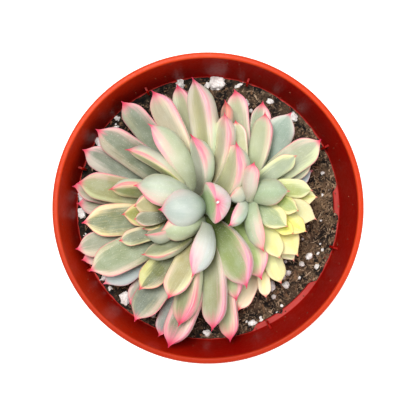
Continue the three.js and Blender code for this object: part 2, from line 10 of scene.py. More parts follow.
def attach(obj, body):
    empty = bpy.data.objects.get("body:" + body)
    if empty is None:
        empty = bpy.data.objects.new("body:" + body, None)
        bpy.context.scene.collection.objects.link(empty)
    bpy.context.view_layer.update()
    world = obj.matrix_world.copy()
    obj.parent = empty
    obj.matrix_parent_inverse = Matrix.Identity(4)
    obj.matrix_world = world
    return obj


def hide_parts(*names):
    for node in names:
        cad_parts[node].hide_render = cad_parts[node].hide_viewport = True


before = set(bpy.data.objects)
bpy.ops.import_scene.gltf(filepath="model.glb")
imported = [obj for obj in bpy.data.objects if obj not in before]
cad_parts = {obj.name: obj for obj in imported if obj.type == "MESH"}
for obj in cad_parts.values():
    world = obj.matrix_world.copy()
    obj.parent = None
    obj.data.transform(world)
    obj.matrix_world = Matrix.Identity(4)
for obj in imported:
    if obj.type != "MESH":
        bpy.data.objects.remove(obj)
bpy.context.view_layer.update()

MM = 0.001
H = 86.0  # lip height, mm
LEDGE = 66.0
rng = np.random.default_rng(20)
scene = bpy.context.scene


def srgb(r, g, b, a=1.0):
    """0-255 screen values to a linear colour."""
    out = []
    for c in (r, g, b):
        c = c / 255.0
        out.append(c / 12.92 if c <= 0.04045 else ((c + 0.055) / 1.055) ** 2.4)
    return (*out, a)


# ------------------------------------------------------------------ node helpers
class Tree:
    def __init__(self, name):
        self.mat = bpy.data.materials.new(name)
        self.mat.use_nodes = True
        self.t = self.mat.node_tree
        self.t.nodes.clear()
        self.out = self.t.nodes.new("ShaderNodeOutputMaterial")
        self.bsdf = self.t.nodes.new("ShaderNodeBsdfPrincipled")
        self.t.links.new(self.bsdf.outputs[0], self.out.inputs["Surface"])

    def put(self, socket, value):
        if isinstance(value, bpy.types.NodeSocket):
            self.t.links.new(value, socket)
        else:
            socket.default_value = value

    def node(self, kind, **kw):
        n = self.t.nodes.new(kind)
        for k, v in kw.items():
            setattr(n, k, v)
        return n

    def math(self, op, a, b=0.0, c=0.0, clamp=False):
        n = self.node("ShaderNodeMath", operation=op, use_clamp=clamp)
        self.put(n.inputs[0], a)
        self.put(n.inputs[1], b)
        self.put(n.inputs[2], c)
        return n.outputs[0]

    def step(self, v, lo, hi, out_lo=0.0, out_hi=1.0, smooth=True):
        n = self.node(
            "ShaderNodeMapRange",
            clamp=True,
            interpolation_type="SMOOTHSTEP" if smooth else "LINEAR",
        )
        self.put(n.inputs["Value"], v)
        self.put(n.inputs["From Min"], lo)
        self.put(n.inputs["From Max"], hi)
        self.put(n.inputs["To Min"], out_lo)
        self.put(n.inputs["To Max"], out_hi)
        return n.outputs["Result"]

    def mix(self, f, a, b, mode="MIX"):
        n = self.node("ShaderNodeMix", data_type="RGBA", blend_type=mode)
        n.clamp_factor = True
        self.put(n.inputs[0], f)
        self.put(n.inputs[6], a)
        self.put(n.inputs[7], b)
        return n.outputs[2]

    def noise(self, vec, scale, detail=3.0, rough=0.55, dist=0.0):
        n = self.node("ShaderNodeTexNoise", noise_dimensions="3D")
        self.put(n.inputs["Vector"], vec)
        n.inputs["Scale"].default_value = scale
        n.inputs["Detail"].default_value = detail
        n.inputs["Roughness"].default_value = rough
        n.inputs["Distortion"].default_value = dist
        return n.outputs[0]

    def attr(self, name):
        return self.node(
            "ShaderNodeAttribute", attribute_name=name, attribute_type="GEOMETRY"
        )

    def coords(self):
        return self.node("ShaderNodeTexCoord").outputs["Object"]

    def bump(self, height, strength, distance):
        n = self.node("ShaderNodeBump")
        n.inputs["Strength"].default_value = strength
        n.inputs["Distance"].default_value = distance
        self.put(n.inputs["Height"], height)
        self.t.links.new(n.outputs[0], self.bsdf.inputs["Normal"])

    def set(self, **kw):
        for k, v in kw.items():
            self.put(self.bsdf.inputs[k.replace("_", " ")], v)


def mesh_object(name, verts, faces, mat=None, smooth=True):
    me = bpy.data.meshes.new(name)
    me.from_pydata([tuple(v) for v in verts], [], faces)
    me.validate()
    if smooth:
        me.polygons.foreach_set("use_smooth", [True] * len(me.polygons))
    me.update()
    ob = bpy.data.objects.new(name, me)
    scene.collection.objects.link(ob)
    if mat:
        me.materials.append(mat)
    return ob


def piece(ob, slot, *nodes):
    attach(ob, "root")
    if nodes:
        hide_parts(*nodes)
    return ob


# ------------------------------------------------------------------ materials
def leaf_material():
    """Waxy succulent skin. The mesh carries: leaf (u along, v across -1..1, s +1 inner face / -1 back), and the leaf's own green, cream and back colours."""
    m = Tree("leaf_skin")
    at = m.attr("leaf")
    sep = m.node("ShaderNodeSeparateXYZ")
    m.put(sep.inputs[0], at.outputs["Vector"])
    u, v, s = sep.outputs
    par = m.attr("par")  # band width, pink amount, seed
    sp = m.node("ShaderNodeSeparateXYZ")
    m.put(sp.inputs[0], par.outputs["Vector"])
    band, pink, seed = sp.outputs
    green = m.attr("c_green").outputs["Color"]
    cream = m.attr("c_cream").outputs["Color"]
    back = m.attr("c_back").outputs["Color"]
    pk_node = m.attr("c_pink")
    tint = pk_node.outputs["Color"]
    lean = m.math("SUBTRACT", m.math("MULTIPLY", pk_node.outputs["Alpha"], 2.0), 1.0)

    obj = m.coords()
    # streaks that run along the blade: stretched leaf coordinates, shifted by the seed
    comb = m.node("ShaderNodeCombineXYZ")
    m.put(comb.inputs[0], m.math("MULTIPLY", u, 1.6))
    m.put(comb.inputs[1], m.math("MULTIPLY", v, 3.4))
    m.put(comb.inputs[2], m.math("ADD", seed, s))
    streak = m.noise(comb.outputs[0], 1.5, 4.0, 0.6)
    comb2 = m.node("ShaderNodeCombineXYZ")
    m.put(comb2.inputs[0], m.math("MULTIPLY", u, 5.0))
    m.put(comb2.inputs[1], m.math("MULTIPLY", v, 22.0))
    m.put(comb2.inputs[2], m.math("ADD", seed, s))
    fine = m.noise(comb2.outputs[0], 1.6, 3.0, 0.6)
    cloud = m.noise(obj, 160.0, 3.0, 0.5)

    av = m.math("ABSOLUTE", v)
    # the green field sits off centre by a little on each leaf
    off = m.math("MULTIPLY", m.math("SINE", m.math("MULTIPLY", seed, 7.0)), 0.26)
    shifted = m.math("ABSOLUTE", m.math("SUBTRACT", v, off))
    wob = m.math(
        "ADD", shifted, m.math("MULTIPLY", m.math("SUBTRACT", streak, 0.5), 1.15)
    )
    # the green field narrows towards the tip
    lim = m.math("SUBTRACT", band, m.math("MULTIPLY", m.step(u, 0.55, 1.0), 0.42))
    lim_hi = m.math("ADD", lim, 0.64)
    edge = m.math("MULTIPLY", m.step(wob, lim, lim_hi), 0.88)
    streaky = m.math("MULTIPLY", m.step(fine, 0.48, 0.72), 0.30)
    edge = m.math("MAXIMUM", edge, streaky)
    face_col = m.mix(edge, green, cream)
    # the back: paler bloom, with faint green streaks
    back_f = m.math("MULTIPLY", m.step(streak, 0.36, 0.75), 0.38)
    back_col = m.mix(back_f, back, green)
    cream_f = m.math("MULTIPLY", m.step(av, 0.35, 0.95), 0.35)
    back_col = m.mix(cream_f, back_col, cream)
    side = m.step(s, -0.25, 0.25)
    col = m.mix(side, back_col, face_col)

    # waxy bloom, a soft pale dusting that rubs thin in places
    bloom = m.math("MULTIPLY", m.step(cloud, 0.35, 0.70), 0.20)
    bloom = m.math(
        "ADD", bloom, m.math("MULTIPLY", m.step(s, 0.3, -0.5), 0.10), clamp=True
    )
    col = m.mix(bloom, col, srgb(218, 224, 210))
    # painted shade: darker and more saturated towards the base, where the blades crowd together and shade one another
    deep = m.math("MULTIPLY", m.step(u, 0.06, 0.50, 1.0, 0.0), m.step(s, -0.25, 0.25, 0.36, 1.0))
    col = m.mix(deep, col, green, "MULTIPLY")

    # fine pale farina
    dust = m.noise(obj, 2300.0, 2.0, 0.6)
    col = m.mix(m.math("MULTIPLY", m.step(dust, 0.58, 0.74), 0.26), col, srgb(238, 242, 232))

    # pink: along the margins, a flush behind the tip, and the mucro itself
    mlo = m.math("SUBTRACT", 0.975, m.math("MULTIPLY", pink, 0.06))
    mw = m.math("SUBTRACT", mlo, m.math("MULTIPLY", m.step(u, 0.3, 1.0), 0.06))
    margin = m.step(av, mw, m.math("ADD", mw, 0.06))
    margin = m.math("MULTIPLY", margin, m.step(u, 0.2, 0.85, 0.08, 0.85))
    margin = m.math("MULTIPLY", margin, m.step(streak, 0.25, 0.6, 0.45, 1.0))
    flush_u = m.math(
        "ADD", u, m.math("MULTIPLY", m.math("SUBTRACT", streak, 0.5), 0.16)
    )
    flush_lo = m.math("SUBTRACT", 0.97, m.math("MULTIPLY", pink, 0.22))
    flush = m.step(flush_u, flush_lo, 1.0)
    # the flush lies mostly on the side that faces the sun
    hv = m.math("ADD", av, m.math("MULTIPLY", m.math("MULTIPLY", lean, v), 0.38))
    hv = m.math("ADD", hv, m.math("MULTIPLY", m.step(u, 0.75, 1.0), 0.22))
    halo = m.math(
        "MULTIPLY", m.step(hv, 0.46, 1.22), m.math("MULTIPLY", pink, 1.25), clamp=True
    )
    halo = m.math("MULTIPLY", halo, m.step(u, 0.30, 0.95))
    halo = m.math("MULTIPLY", halo, m.step(streak, 0.30, 0.62, 0.15, 1.0))
    wash = m.mix(m.math("SUBTRACT", 0.74, m.math("MULTIPLY", halo, 0.42)), tint, srgb(252, 214, 212))
    col = m.mix(m.math("MULTIPLY", halo, 0.92), col, wash)
    pf = m.math("MAXIMUM", margin, flush)
    pf = m.math("MULTIPLY", pf, m.step(pink, 0.0, 0.35, 0.12, 0.85, False))
    col = m.mix(pf, col, m.mix(0.12, tint, srgb(252, 208, 210)))
    tip_at = m.math("SUBTRACT", 0.935, m.math("MULTIPLY", pink, 0.05))
    tipf = m.step(u, tip_at, 0.985)
    tipf = m.math("MULTIPLY", tipf, m.step(pink, 0.0, 0.4, 0.55, 1.0, False))
    deep = m.mix(0.8, tint, srgb(214, 18, 66))
    col = m.mix(tipf, col, deep)
    m.put(m.bsdf.inputs["Base Color"], col)
    rough = m.step(cloud, 0.3, 0.7, 0.46, 0.62)
    m.put(m.bsdf.inputs["Roughness"], m.math("SUBTRACT", rough, m.math("MULTIPLY", tipf, 0.12)))
    m.set(Specular_IOR_Level=0.38, Sheen_Weight=0.12, Sheen_Roughness=0.45)
    m.bsdf.inputs["Subsurface Weight"].default_value = 0.09
    m.bsdf.inputs["Subsurface Radius"].default_value = (1.0, 0.85, 0.45)
    m.bsdf.inputs["Subsurface Scale"].default_value = 0.0022
    grain = m.noise(obj, 1400.0, 3.0, 0.6)
    hgt = m.math("ADD", m.math("MULTIPLY", grain, 0.6), m.math("MULTIPLY", fine, 0.22))
    m.bump(hgt, 0.16, 0.00025)
    return m.mat


def stem_material():
    m = Tree("stem_bark")
    o = m.coords()
    n = m.noise(o, 420.0, 5.0, 0.6)
    big = m.noise(o, 110.0, 3.0)
    col = m.mix(m.step(n, 0.35, 0.7), srgb(186, 190, 104), srgb(150, 166, 92))
    col = m.mix(m.step(big, 0.50, 0.75), col, srgb(138, 112, 76))
    m.put(m.bsdf.inputs["Base Color"], col)
    m.put(m.bsdf.inputs["Roughness"], m.step(n, 0.3, 0.7, 0.62, 0.85))
    m.bump(n, 0.6, 0.0006)
    return m.mat


def pot_material():
    m = Tree("pot_plastic")
    o = m.coords()
    sep = m.node("ShaderNodeSeparateXYZ")
    m.put(sep.inputs[0], o)
    x, y, z = sep.outputs
    r = m.math("SQRT", m.math("ADD", m.math("MULTIPLY", x, x), m.math("MULTIPLY", y, y)))
    mott = m.noise(o, 34.0, 4.0, 0.6)
    fine = m.noise(o, 900.0, 2.0, 0.5)
    # thin drips and scuffs that run down the wall
    comb = m.node("ShaderNodeCombineXYZ")
    m.put(comb.inputs[0], m.math("MULTIPLY", x, 3.0))
    m.put(comb.inputs[1], m.math("MULTIPLY", y, 3.0))
    m.put(comb.inputs[2], m.math("MULTIPLY", z, 0.35))
    drip = m.noise(comb.outputs[0], 120.0, 3.0, 0.6)
    outer = m.mix(m.step(mott, 0.35, 0.7), srgb(198, 56, 20), srgb(208, 68, 30))
    # painted shade: the near side of the lip is painted darker, as the side turned from the light
    lip_shade_painted = m.math("ADD", m.math("MULTIPLY", y, -1.0), m.math("MULTIPLY", x, -0.35))
    outer = m.mix(m.math("MULTIPLY", m.step(lip_shade_painted, -0.005, 0.05), 0.52), outer, srgb(140, 26, 10))
    # painted shade: the inside wall gets a darker, deeper red than the outside, darker again below about 70 mm
    inner = m.mix(m.step(mott, 0.35, 0.7), srgb(152, 8, 1), srgb(168, 18, 3))
    inner = m.mix(m.step(z, 0.070, 0.0855), m.mix(0.25, inner, srgb(110, 2, 1)), inner)
    # painted light: the inner wall is painted brighter on the left, as if light came through it
    glow = m.math("MULTIPLY", m.step(x, 0.010, -0.050), m.step(z, 0.066, 0.083))
    inner = m.mix(m.math("MULTIPLY", glow, 0.65), inner, srgb(206, 52, 14))
    # painted light: the upward face of the ledge is painted a lighter pink than the shaded wall
    ledge = m.math("MULTIPLY", m.step(z, 0.0664, 0.0661), m.step(z, 0.0655, 0.0658))
    inner = m.mix(m.math("MULTIPLY", ledge, m.step(mott, 0.3, 0.6, 0.5, 0.9)), inner, srgb(186, 62, 56))
    down = m.step(z, (H - 1.2) * MM, (H - 0.2) * MM)
    # painted shade: the inside surface below the lip takes the darker inner colour, as it only sees itself and the mix
    lim = m.step(z, 0.060, 0.086, 0.0476, 0.0520, False)
    is_in = m.math("LESS_THAN", r, m.math("ADD", lim, 0.0007))
    is_in = m.math("MULTIPLY", is_in, m.math("SUBTRACT", 1.0, down))
    # below the collar the wall that shows is the outer one
    is_in = m.math("MULTIPLY", is_in, m.math("GREATER_THAN", z, 0.0635))
    col = m.mix(is_in, outer, inner)
    # dusty film low on the inner wall and on the foot
    dust = m.math("MULTIPLY", m.step(drip, 0.56, 0.78), m.step(z, 0.084, 0.068, 0.04, 0.30))
    dust = m.math("MULTIPLY", dust, is_in)
    col = m.mix(m.math("MULTIPLY", dust, 0.6), col, srgb(170, 84, 62))
    foot = m.math("MULTIPLY", m.step(z, 0.012, 0.0, 0.0, 0.35), m.step(mott, 0.4, 0.7))
    col = m.mix(foot, col, srgb(150, 96, 70))
    speck = m.step(m.noise(o, 520.0, 2.0, 0.5), 0.72, 0.78)
    speck = m.math("MULTIPLY", speck, m.math("MULTIPLY", is_in, 0.30))
    col = m.mix(speck, col, srgb(92, 50, 34))
    m.put(m.bsdf.inputs["Base Color"], col)
    rough = m.step(fine, 0.3, 0.7, 0.34, 0.46)
    rough = m.math("ADD", rough, m.math("MULTIPLY", dust, 0.5))
    rough = m.math("ADD", rough, m.math("MULTIPLY", m.step(drip, 0.55, 0.75), 0.08))
    m.put(m.bsdf.inputs["Roughness"], rough)
    m.set(Specular_IOR_Level=0.10)
    m.bsdf.inputs["Subsurface Weight"].default_value = 0.05
    m.bsdf.inputs["Subsurface Radius"].default_value = (1.0, 0.25, 0.1)
    m.bsdf.inputs["Subsurface Scale"].default_value = 0.001
    hgt = m.math("ADD", m.math("MULTIPLY", fine, 0.3), m.math("MULTIPLY", drip, 0.4))
    m.bump(hgt, 0.10, 0.0004)
    return m.mat


def soil_material():
    m = Tree("mix_soil")
    o = m.coords()
    a = m.noise(o, 260.0, 6.0, 0.65)
    b = m.noise(o, 900.0, 4.0, 0.6, 0.6)
    c = m.noise(o, 70.0, 3.0, 0.6)
    tone = m.attr("soil").outputs["Color"]
    col = m.mix(m.step(a, 0.42, 0.62), srgb(20, 15, 13), srgb(98, 79, 62))
    col = m.mix(m.math("MULTIPLY", m.step(b, 0.52, 0.64), 0.8), col, srgb(172, 146, 120))
    col = m.mix(m.math("MULTIPLY", m.step(c, 0.5, 0.7), 0.4), col, srgb(44, 33, 27))
    # painted light and shade from the soil attribute: lighter on the right, darker on the left
    col = m.mix(1.0, col, tone, "MULTIPLY")
    m.put(m.bsdf.inputs["Base Color"], col)
    m.put(m.bsdf.inputs["Roughness"], m.step(a, 0.3, 0.7, 0.78, 0.96))
    m.set(Specular_IOR_Level=0.25)
    m.bump(m.math("ADD", a, m.math("MULTIPLY", b, 0.5)), 0.9, 0.0012)
    return m.mat


def simple_material(name, c1, c2, scale, r_lo, r_hi, bump=0.6, dist=0.0004):
    m = Tree(name)
    o = m.coords()
    n = m.noise(o, scale, 5.0, 0.6)
    m.put(m.bsdf.inputs["Base Color"], m.mix(m.step(n, 0.35, 0.68), c1, c2))
    m.put(m.bsdf.inputs["Roughness"], m.step(n, 0.3, 0.7, r_lo, r_hi))
    m.set(Specular_IOR_Level=0.25)
    m.bump(n, bump, dist)
    return m.mat


LEAF = leaf_material()
STEM = stem_material()
POT = pot_material()
SOIL = soil_material()
PERLITE = simple_material(
    "perlite", srgb(214, 210, 205), srgb(250, 249, 246), 1100.0, 0.8, 0.95
)
BARK = simple_material(
    "bark_crumb", srgb(40, 30, 24), srgb(132, 102, 76), 420.0, 0.75, 0.95
)
SLIVER = simple_material(
    "bark_sliver", srgb(110, 88, 68), srgb(196, 170, 142), 300.0, 0.75, 0.95
)
FIBRE = simple_material(
    "coir_fibre", srgb(96, 74, 54), srgb(172, 144, 112), 500.0, 0.7, 0.9, 0.3, 0.0002
)
CRUMB = simple_material(
    "wall_crumb", srgb(96, 34, 22), srgb(150, 96, 70), 900.0, 0.8, 0.95
)

# ------------------------------------------------------------------ leaves
# node, kind, point on the stem, four control points of the midrib, inner-face direction, half width (mm)
BRANCHES = {"left": [[1.4,-0.74,64], [-1.88,-0.72,71], [-10.11,-1.79,74], [-18.04,-2.76,86]], "right": [[1.4,-0.74,64], [5.01,-0.36,70], [14.31,0.36,73], [22.32,0.7,82]]}
LEAVES = [
    ["leaf_west_01", "A1", [-6.12,-1.33,72.72], [-7.52,7.09,77.65], [-14.25,18,76.66], [-22.25,28.53,78.4], [-30.16,37.44,81.93], [-0.28,-0.33,0.9], 4.64],
    ["leaf_west_02", "A2", [-8.33,-1.58,74.73], [-8.12,4.55,82.02], [-17.76,13.12,80.92], [-28.53,20.97,82.56], [-38.76,27.29,86.02], [-0.18,-0.4,0.9], 5.68],
    ["leaf_west_03", "A3", [-7.68,-1.51,74.13], [-13.65,2.86,74.99], [-23.65,9.38,74.19], [-34.36,15.62,75.72], [-44.23,20.84,78.79], [-0.04,-0.28,0.96], 4.53],
    ["leaf_west_04", "A4", [-12.38,-2.07,78.77], [-9,7.56,87.9], [-14.28,13.2,89.11], [-20.95,17.38,90.84], [-27.8,19.96,92.72], [-0.5,-0.84,0.2], 4.7],
    ["leaf_west_05", "A5", [-11,-1.9,77.32], [-14.09,1.75,81.34], [-24.44,5.13,80.06], [-35.49,7.59,81.08], [-45.66,9.05,83.68], [-0.03,-0.43,0.9], 5.34],
    ["stem", "A6", [-6.43,-1.36,72.99], [-13.75,0,72.7], [-25.19,3.05,72.44], [-37.17,5.87,74.18], [-48,8.17,77.17], [0.08,-0.2,0.98], 4.51],
    ["stem", "A7", [-5.22,-1.23,71.9], [-13.88,-1.45,69.39], [-25,-0.14,68.9], [-36.69,0.98,69.9], [-47.33,1.8,71.9], [0.06,-0.18,0.98], 4.02],
    ["leaf_west_06", "A8", [-11.69,-1.98,78.03], [-15.16,-3.16,80.88], [-24.84,-3.74,79.17], [-34.94,-4.34,80.04], [-44.05,-4.89,82.71], [0.06,0,1], 5.78],
    ["leaf_west_07", "A9", [-13.78,-2.24,80.35], [-13.94,-2.77,84.77], [-19.41,-2.2,83.72], [-24.88,-1.98,84.76], [-29.67,-2.07,87.21], [0.14,-0.18,0.97], 4.36],
    ["leaf_west_08", "A10", [-13.43,-2.2,79.94], [-13.93,3.46,85.17], [-20.47,5.91,85.82], [-27.46,6.82,87.45], [-33.89,6.49,89.6], [-0.02,-0.87,0.49], 4.64],
    ["bud_left", "A11", [-15.9,-2.5,82.99], [-14.46,1.37,88.73], [-18.41,1.79,88.88], [-22.1,1.49,90.34], [-25.11,0.68,92.56], [0.33,-0.48,0.81], 4.22],
    ["bud_left", "A12", [-15.9,-2.5,82.99], [-13.76,-2.74,89], [-17.97,-3.61,89.32], [-21.86,-3.89,91.14], [-25.01,-3.71,93.83], [0.34,0.37,0.86], 2.63],
    ["bud_left", "A13", [-13.78,-2.24,80.35], [-11.09,-4.13,87.11], [-14,-7.18,88.53], [-17.65,-8.79,90.46], [-21.39,-9.14,92.51], [-0.32,0.92,0.23], 5.18],
    ["bud_left", "A14", [-15.55,-2.46,82.52], [-15.26,-3.8,86.21], [-17.52,-5.46,86.26], [-20.02,-6.6,87], [-22.37,-7.21,88.18], [-0.11,0.66,0.74], 2.36],
    ["leaf_west_09", "A15", [-12.73,-2.11,79.15], [-12.59,-6.26,84], [-18.7,-8.2,83.16], [-25.07,-9.98,84.01], [-30.82,-11.4,86], [0.06,0.16,0.98], 2.96],
    ["leaf_west_10", "A16", [-12.38,-2.07,78.77], [-6.25,-9.62,87.76], [-11.31,-12.85,87.66], [-17.07,-14.99,88.49], [-22.59,-16.04,89.9], [-0.23,0.79,0.57], 4.41],
    ["leaf_north_01", "B1", [-6.74,-1.4,73.27], [-5.7,9.14,80.24], [-8.85,20.45,80.04], [-13.67,31.46,82.04], [-19.11,40.85,85.4], [-0.52,-0.35,0.78], 5.32],
    ["stem", "B2", [-2.99,-1.01,69.81], [-3.66,10.77,73.47], [-4.96,22.14,73.36], [-7.67,33.76,74.64], [-11.09,44.08,76.79], [-0.68,-0.22,0.7], 4.23],
    ["leaf_north_02", "B3", [-4.93,-1.2,71.64], [-1.83,10.56,79.9], [-0.8,22.42,80.96], [-2.21,34.49,83.41], [-5.24,45.18,86.57], [-0.87,-0.17,0.46], 7.19],
    ["stem", "B4", [-2.22,-0.94,69.04], [-0.79,11.48,73.72], [0.16,22.41,73.23], [-0.48,33.91,73.67], [-2.22,44.35,74.74], [-0.86,-0.05,0.5], 4.11],
    ["leaf_north_03", "B5", [-5.82,-1.3,72.44], [-0.42,7.7,82.02], [3.57,15.8,84.35], [5.51,24.5,87.93], [5.7,32.55,91.99], [-0.9,0.05,0.44], 5.69],
    ["leaf_north_04", "B6", [-2.22,-0.94,69.04], [2.06,9.25,76.41], [5.09,18.55,77.51], [6.39,28.57,79.36], [6.24,37.84,81.53], [-0.94,0.08,0.34], 3.65],
    ["stem", "B7", [0.02,-0.78,66.37], [12.26,8.7,70.14], [12.35,20.13,69.85], [11.46,32.01,71.25], [9.97,42.69,73.72], [-0.49,-0.12,0.86], 4.28],
    ["leaf_north_05", "B9", [-0.82,-0.83,67.46], [11.49,9.11,81.56], [11.14,16.5,81.27], [10.46,23.93,82.93], [9.61,30.42,85.81], [-0.16,-0.21,0.97], 3.33],
    ["leaf_north_06", "B10", [-5.52,-1.26,72.17], [2.71,3.47,84.78], [7.07,9.4,87.57], [9.29,15.94,91.62], [9.64,22.09,96.07], [-0.91,0.09,0.41], 7.74],
    ["leaf_north_07", "B11", [-8.65,-1.62,75.03], [-5.63,6.95,84.03], [-9.14,14.93,86.57], [-14.37,22.59,88.48], [-20.22,29.03,89.69], [-0.81,-0.43,-0.41], 6.18],
    ["leaf_north_08", "B12", [-9.65,-1.74,75.98], [-2.82,6.19,87.45], [-1.93,12.88,89.29], [-3.15,19.36,91.9], [-5.78,24.87,94.77], [-0.92,-0.26,0.29], 6.1],
    ["leaf_inner_01", "F1", [-9.31,-1.7,75.66], [-2.82,0.34,87.41], [-6.05,0.28,92.29], [-10.96,-0.1,94.93], [-16.49,-0.67,95.56], [-0.5,-0.11,-0.86], 6.96],
    ["leaf_inner_02", "F4", [-9.65,-1.74,75.98], [-6.29,3.11,85.82], [-11.52,5.49,90.21], [-18.16,7.02,92.93], [-24.99,7.75,94.06], [-0.45,-0.4,-0.8], 6.07],
    ["leaf_inner_03", "F5", [-7.05,-1.43,73.55], [-2.51,-3.83,83.68], [-5.63,-5.67,88.96], [-10.71,-7.12,92.3], [-16.58,-8.09,93.8], [-0.61,0.17,-0.77], 4.96],
    ["leaf_inner_04", "F2", [-9.98,-1.78,76.3], [-1.1,1.37,88.85], [1.1,1.74,92.93], [2.53,1.94,97.56], [3.22,1.97,102], [-0.93,-0.21,0.31], 7.21],
    ["leaf_inner_05", "F3", [-1.26,-0.86,67.99], [11.71,3.47,85.01], [11.57,0.06,88.89], [9.76,-3.23,92.54], [6.97,-6.03,95.55], [-0.95,0.18,-0.27], 3.58],
    ["leaf_inner_06", "F6", [-2.22,-0.94,69.04], [12.61,7.19,88.72], [11.18,5.28,90.08], [9.07,3.89,91.24], [6.71,3.05,92.09], [-0.66,0.69,-0.31], 3.76],
    ["leaf_southeast_01", "E1", [-9.31,-1.7,75.66], [-0.76,-6.19,87.72], [-1.05,-11.87,90.59], [-2.82,-17.83,92.69], [-5.46,-23.25,93.96], [-0.84,0.03,-0.54], 5.48],
    ["leaf_southeast_02", "E2", [-7.68,-1.51,74.13], [0.97,-5.55,85.01], [6.56,-12.36,86.52], [10.77,-19.88,89.83], [13.41,-26.95,94.05], [-0.71,-0.12,0.7], 7.53],
    ["leaf_southeast_03", "E3", [-1.73,-0.9,68.52], [8.04,-1.41,79.5], [12.46,-9.09,79.24], [16.11,-17.38,80.83], [18.73,-25.06,83.57], [-0.48,-0.07,0.87], 6.73],
    ["leaf_southeast_04", "E4", [18.67,0.52,78.34], [15.86,3.46,85.19], [15.42,-2.68,87.72], [16.66,-9.12,89.75], [18.97,-14.96,91.15], [0.93,0.04,-0.36], 4.5],
    ["stem", "E5", [-3.25,-1.03,70.07], [2.77,-8.51,77.66], [6.27,-16.3,78.04], [8.71,-24.72,79.67], [10.07,-32.53,82.02], [-0.71,-0.09,0.7], 4.38],
    ["leaf_southwest_01", "G1", [-9.65,-1.74,75.98], [-12.77,-7.76,79.25], [-22.45,-12.84,78.3], [-32.46,-17.75,80.23], [-41.43,-21.9,84.06], [0.09,0.16,0.98], 5.97],
    ["stem", "G2", [-8,-1.54,74.43], [-13.64,-5,75.36], [-24.67,-8.44,74.58], [-36.26,-11.87,75.76], [-46.79,-14.86,78.22], [0.05,0.11,0.99], 4.63],
    ["stem", "G3", [-4.93,-1.2,71.64], [-13.16,-6.54,69.34], [-23.91,-10.72,69.63], [-35.11,-15.06,71.54], [-45.18,-18.98,74.39], [0.14,0.05,0.99], 3.25],
    ["stem", "G4", [-6.43,-1.36,72.99], [-11.57,-6.47,73.28], [-20.11,-13.47,72.66], [-29.03,-20.79,73.92], [-37.08,-27.4,76.4], [0.07,0.06,1], 5.72],
    ["leaf_southwest_02", "G5", [-9.65,-1.74,75.98], [-7.77,-9.79,82], [-12.93,-16.46,81.41], [-18.6,-22.9,83], [-23.91,-28.33,86], [-0.08,0.28,0.96], 4.77],
    ["leaf_southwest_03", "G6", [-6.43,-1.36,72.99], [-7.18,-9.95,77], [-13.04,-20.3,75.93], [-19.68,-30.64,77.57], [-26.04,-39.65,81], [-0.14,0.22,0.96], 5.56],
    ["stem", "G7", [-4.07,-1.11,70.85], [-8.77,-8.7,70.42], [-15.34,-17.3,69.82], [-22.24,-26.35,70.69], [-28.51,-34.56,72.54], [0.04,0.05,1], 3.61],
    ["stem", "H0", [-2.99,-1.01,69.81], [-5.13,-10.84,71.48], [-8.57,-22.83,71.43], [-12.82,-35.06,73.39], [-17.14,-45.88,76.59], [-0.28,0.23,0.93], 3.52],
    ["leaf_south_01", "H1", [-1.26,-0.86,67.99], [-0.43,-10.05,73.51], [-3.21,-23.97,75.19], [-8.1,-37.31,79.43], [-13.93,-48.52,85.02], [-0.56,0.41,0.71], 6.13],
    ["leaf_south_02", "H2", [-8,-1.54,74.43], [-6.77,-9.87,79.49], [-6,-20.62,81.87], [-7.29,-31.3,85.84], [-9.95,-40.54,90.46], [-0.8,0.28,0.54], 6.25],
    ["leaf_south_03", "H3", [-6.74,-1.4,73.27], [-0.77,-8.39,82.2], [2.09,-19.72,82.36], [2.73,-31.54,84.62], [1.65,-42.21,88.17], [-0.75,0.06,0.66], 5.67],
    ["leaf_south_04", "H4", [-8.33,-1.58,74.73], [-2.84,-6.24,84.97], [-5.59,-15.32,86.13], [-9.42,-23.76,89.5], [-13.54,-30.65,94.07], [-0.35,0.46,0.82], 4.97],
    ["leaf_south_05", "H5", [-1.97,-0.92,68.78], [1.01,-9.34,73.15], [4.86,-21.86,73.31], [7.17,-35.15,75.54], [8.05,-47.31,79.01], [-0.65,-0,0.76], 4.48],
    ["stem", "C1", [11.77,0.1,72.96], [15.08,7.22,71.76], [17.49,17.45,71.4], [18.98,28.33,72.5], [19.61,38.29,74.56], [-0.58,0.01,0.82], 4.38],
    ["leaf_northeast_01", "C2", [14.26,0.27,74.76], [13.29,7.74,80.32], [16.98,16.06,80.21], [19.2,25.02,81.91], [20.05,33.3,84.75], [-0.68,0.05,0.73], 4.66],
    ["leaf_northeast_02", "C3", [12.47,0.15,73.46], [14.91,8.56,75.53], [19.74,17.11,75.09], [24.73,25.94,76.64], [29.19,33.85,79.47], [-0.07,-0.12,0.99], 5.5],
    ["leaf_northeast_03", "C4", [14.26,0.27,74.76], [16.16,7.06,79.24], [24.05,12.91,79.24], [32.17,18.65,81.54], [39.41,23.55,85.25], [-0.11,-0.2,0.97], 5.26],
    ["leaf_northeast_04", "C5", [16.83,0.42,76.76], [15.23,6.95,84], [20.15,11.37,84.27], [25.47,15.21,86.16], [30.39,18.14,89], [0.05,-0.47,0.88], 3.44],
    ["stem", "C6", [12.47,0.15,73.46], [18.74,5.06,71], [25.04,8.03,70.62], [31.67,11.02,71.43], [37.68,13.66,73], [-0.05,-0.12,0.99], 3.79],
    ["stem", "C7", [13.54,0.22,74.23], [17.03,6.06,76.08], [23.81,10.18,75.25], [30.96,14.37,76.01], [37.48,18.07,77.86], [-0.02,-0.11,0.99], 4.45],
    ["leaf_east_01", "D1", [19.78,0.58,79.37], [13.97,2.74,88.91], [13.79,6.15,92.92], [14.3,10.63,95.79], [15.26,15.32,97.46], [0.39,0.49,-0.78], 2.87],
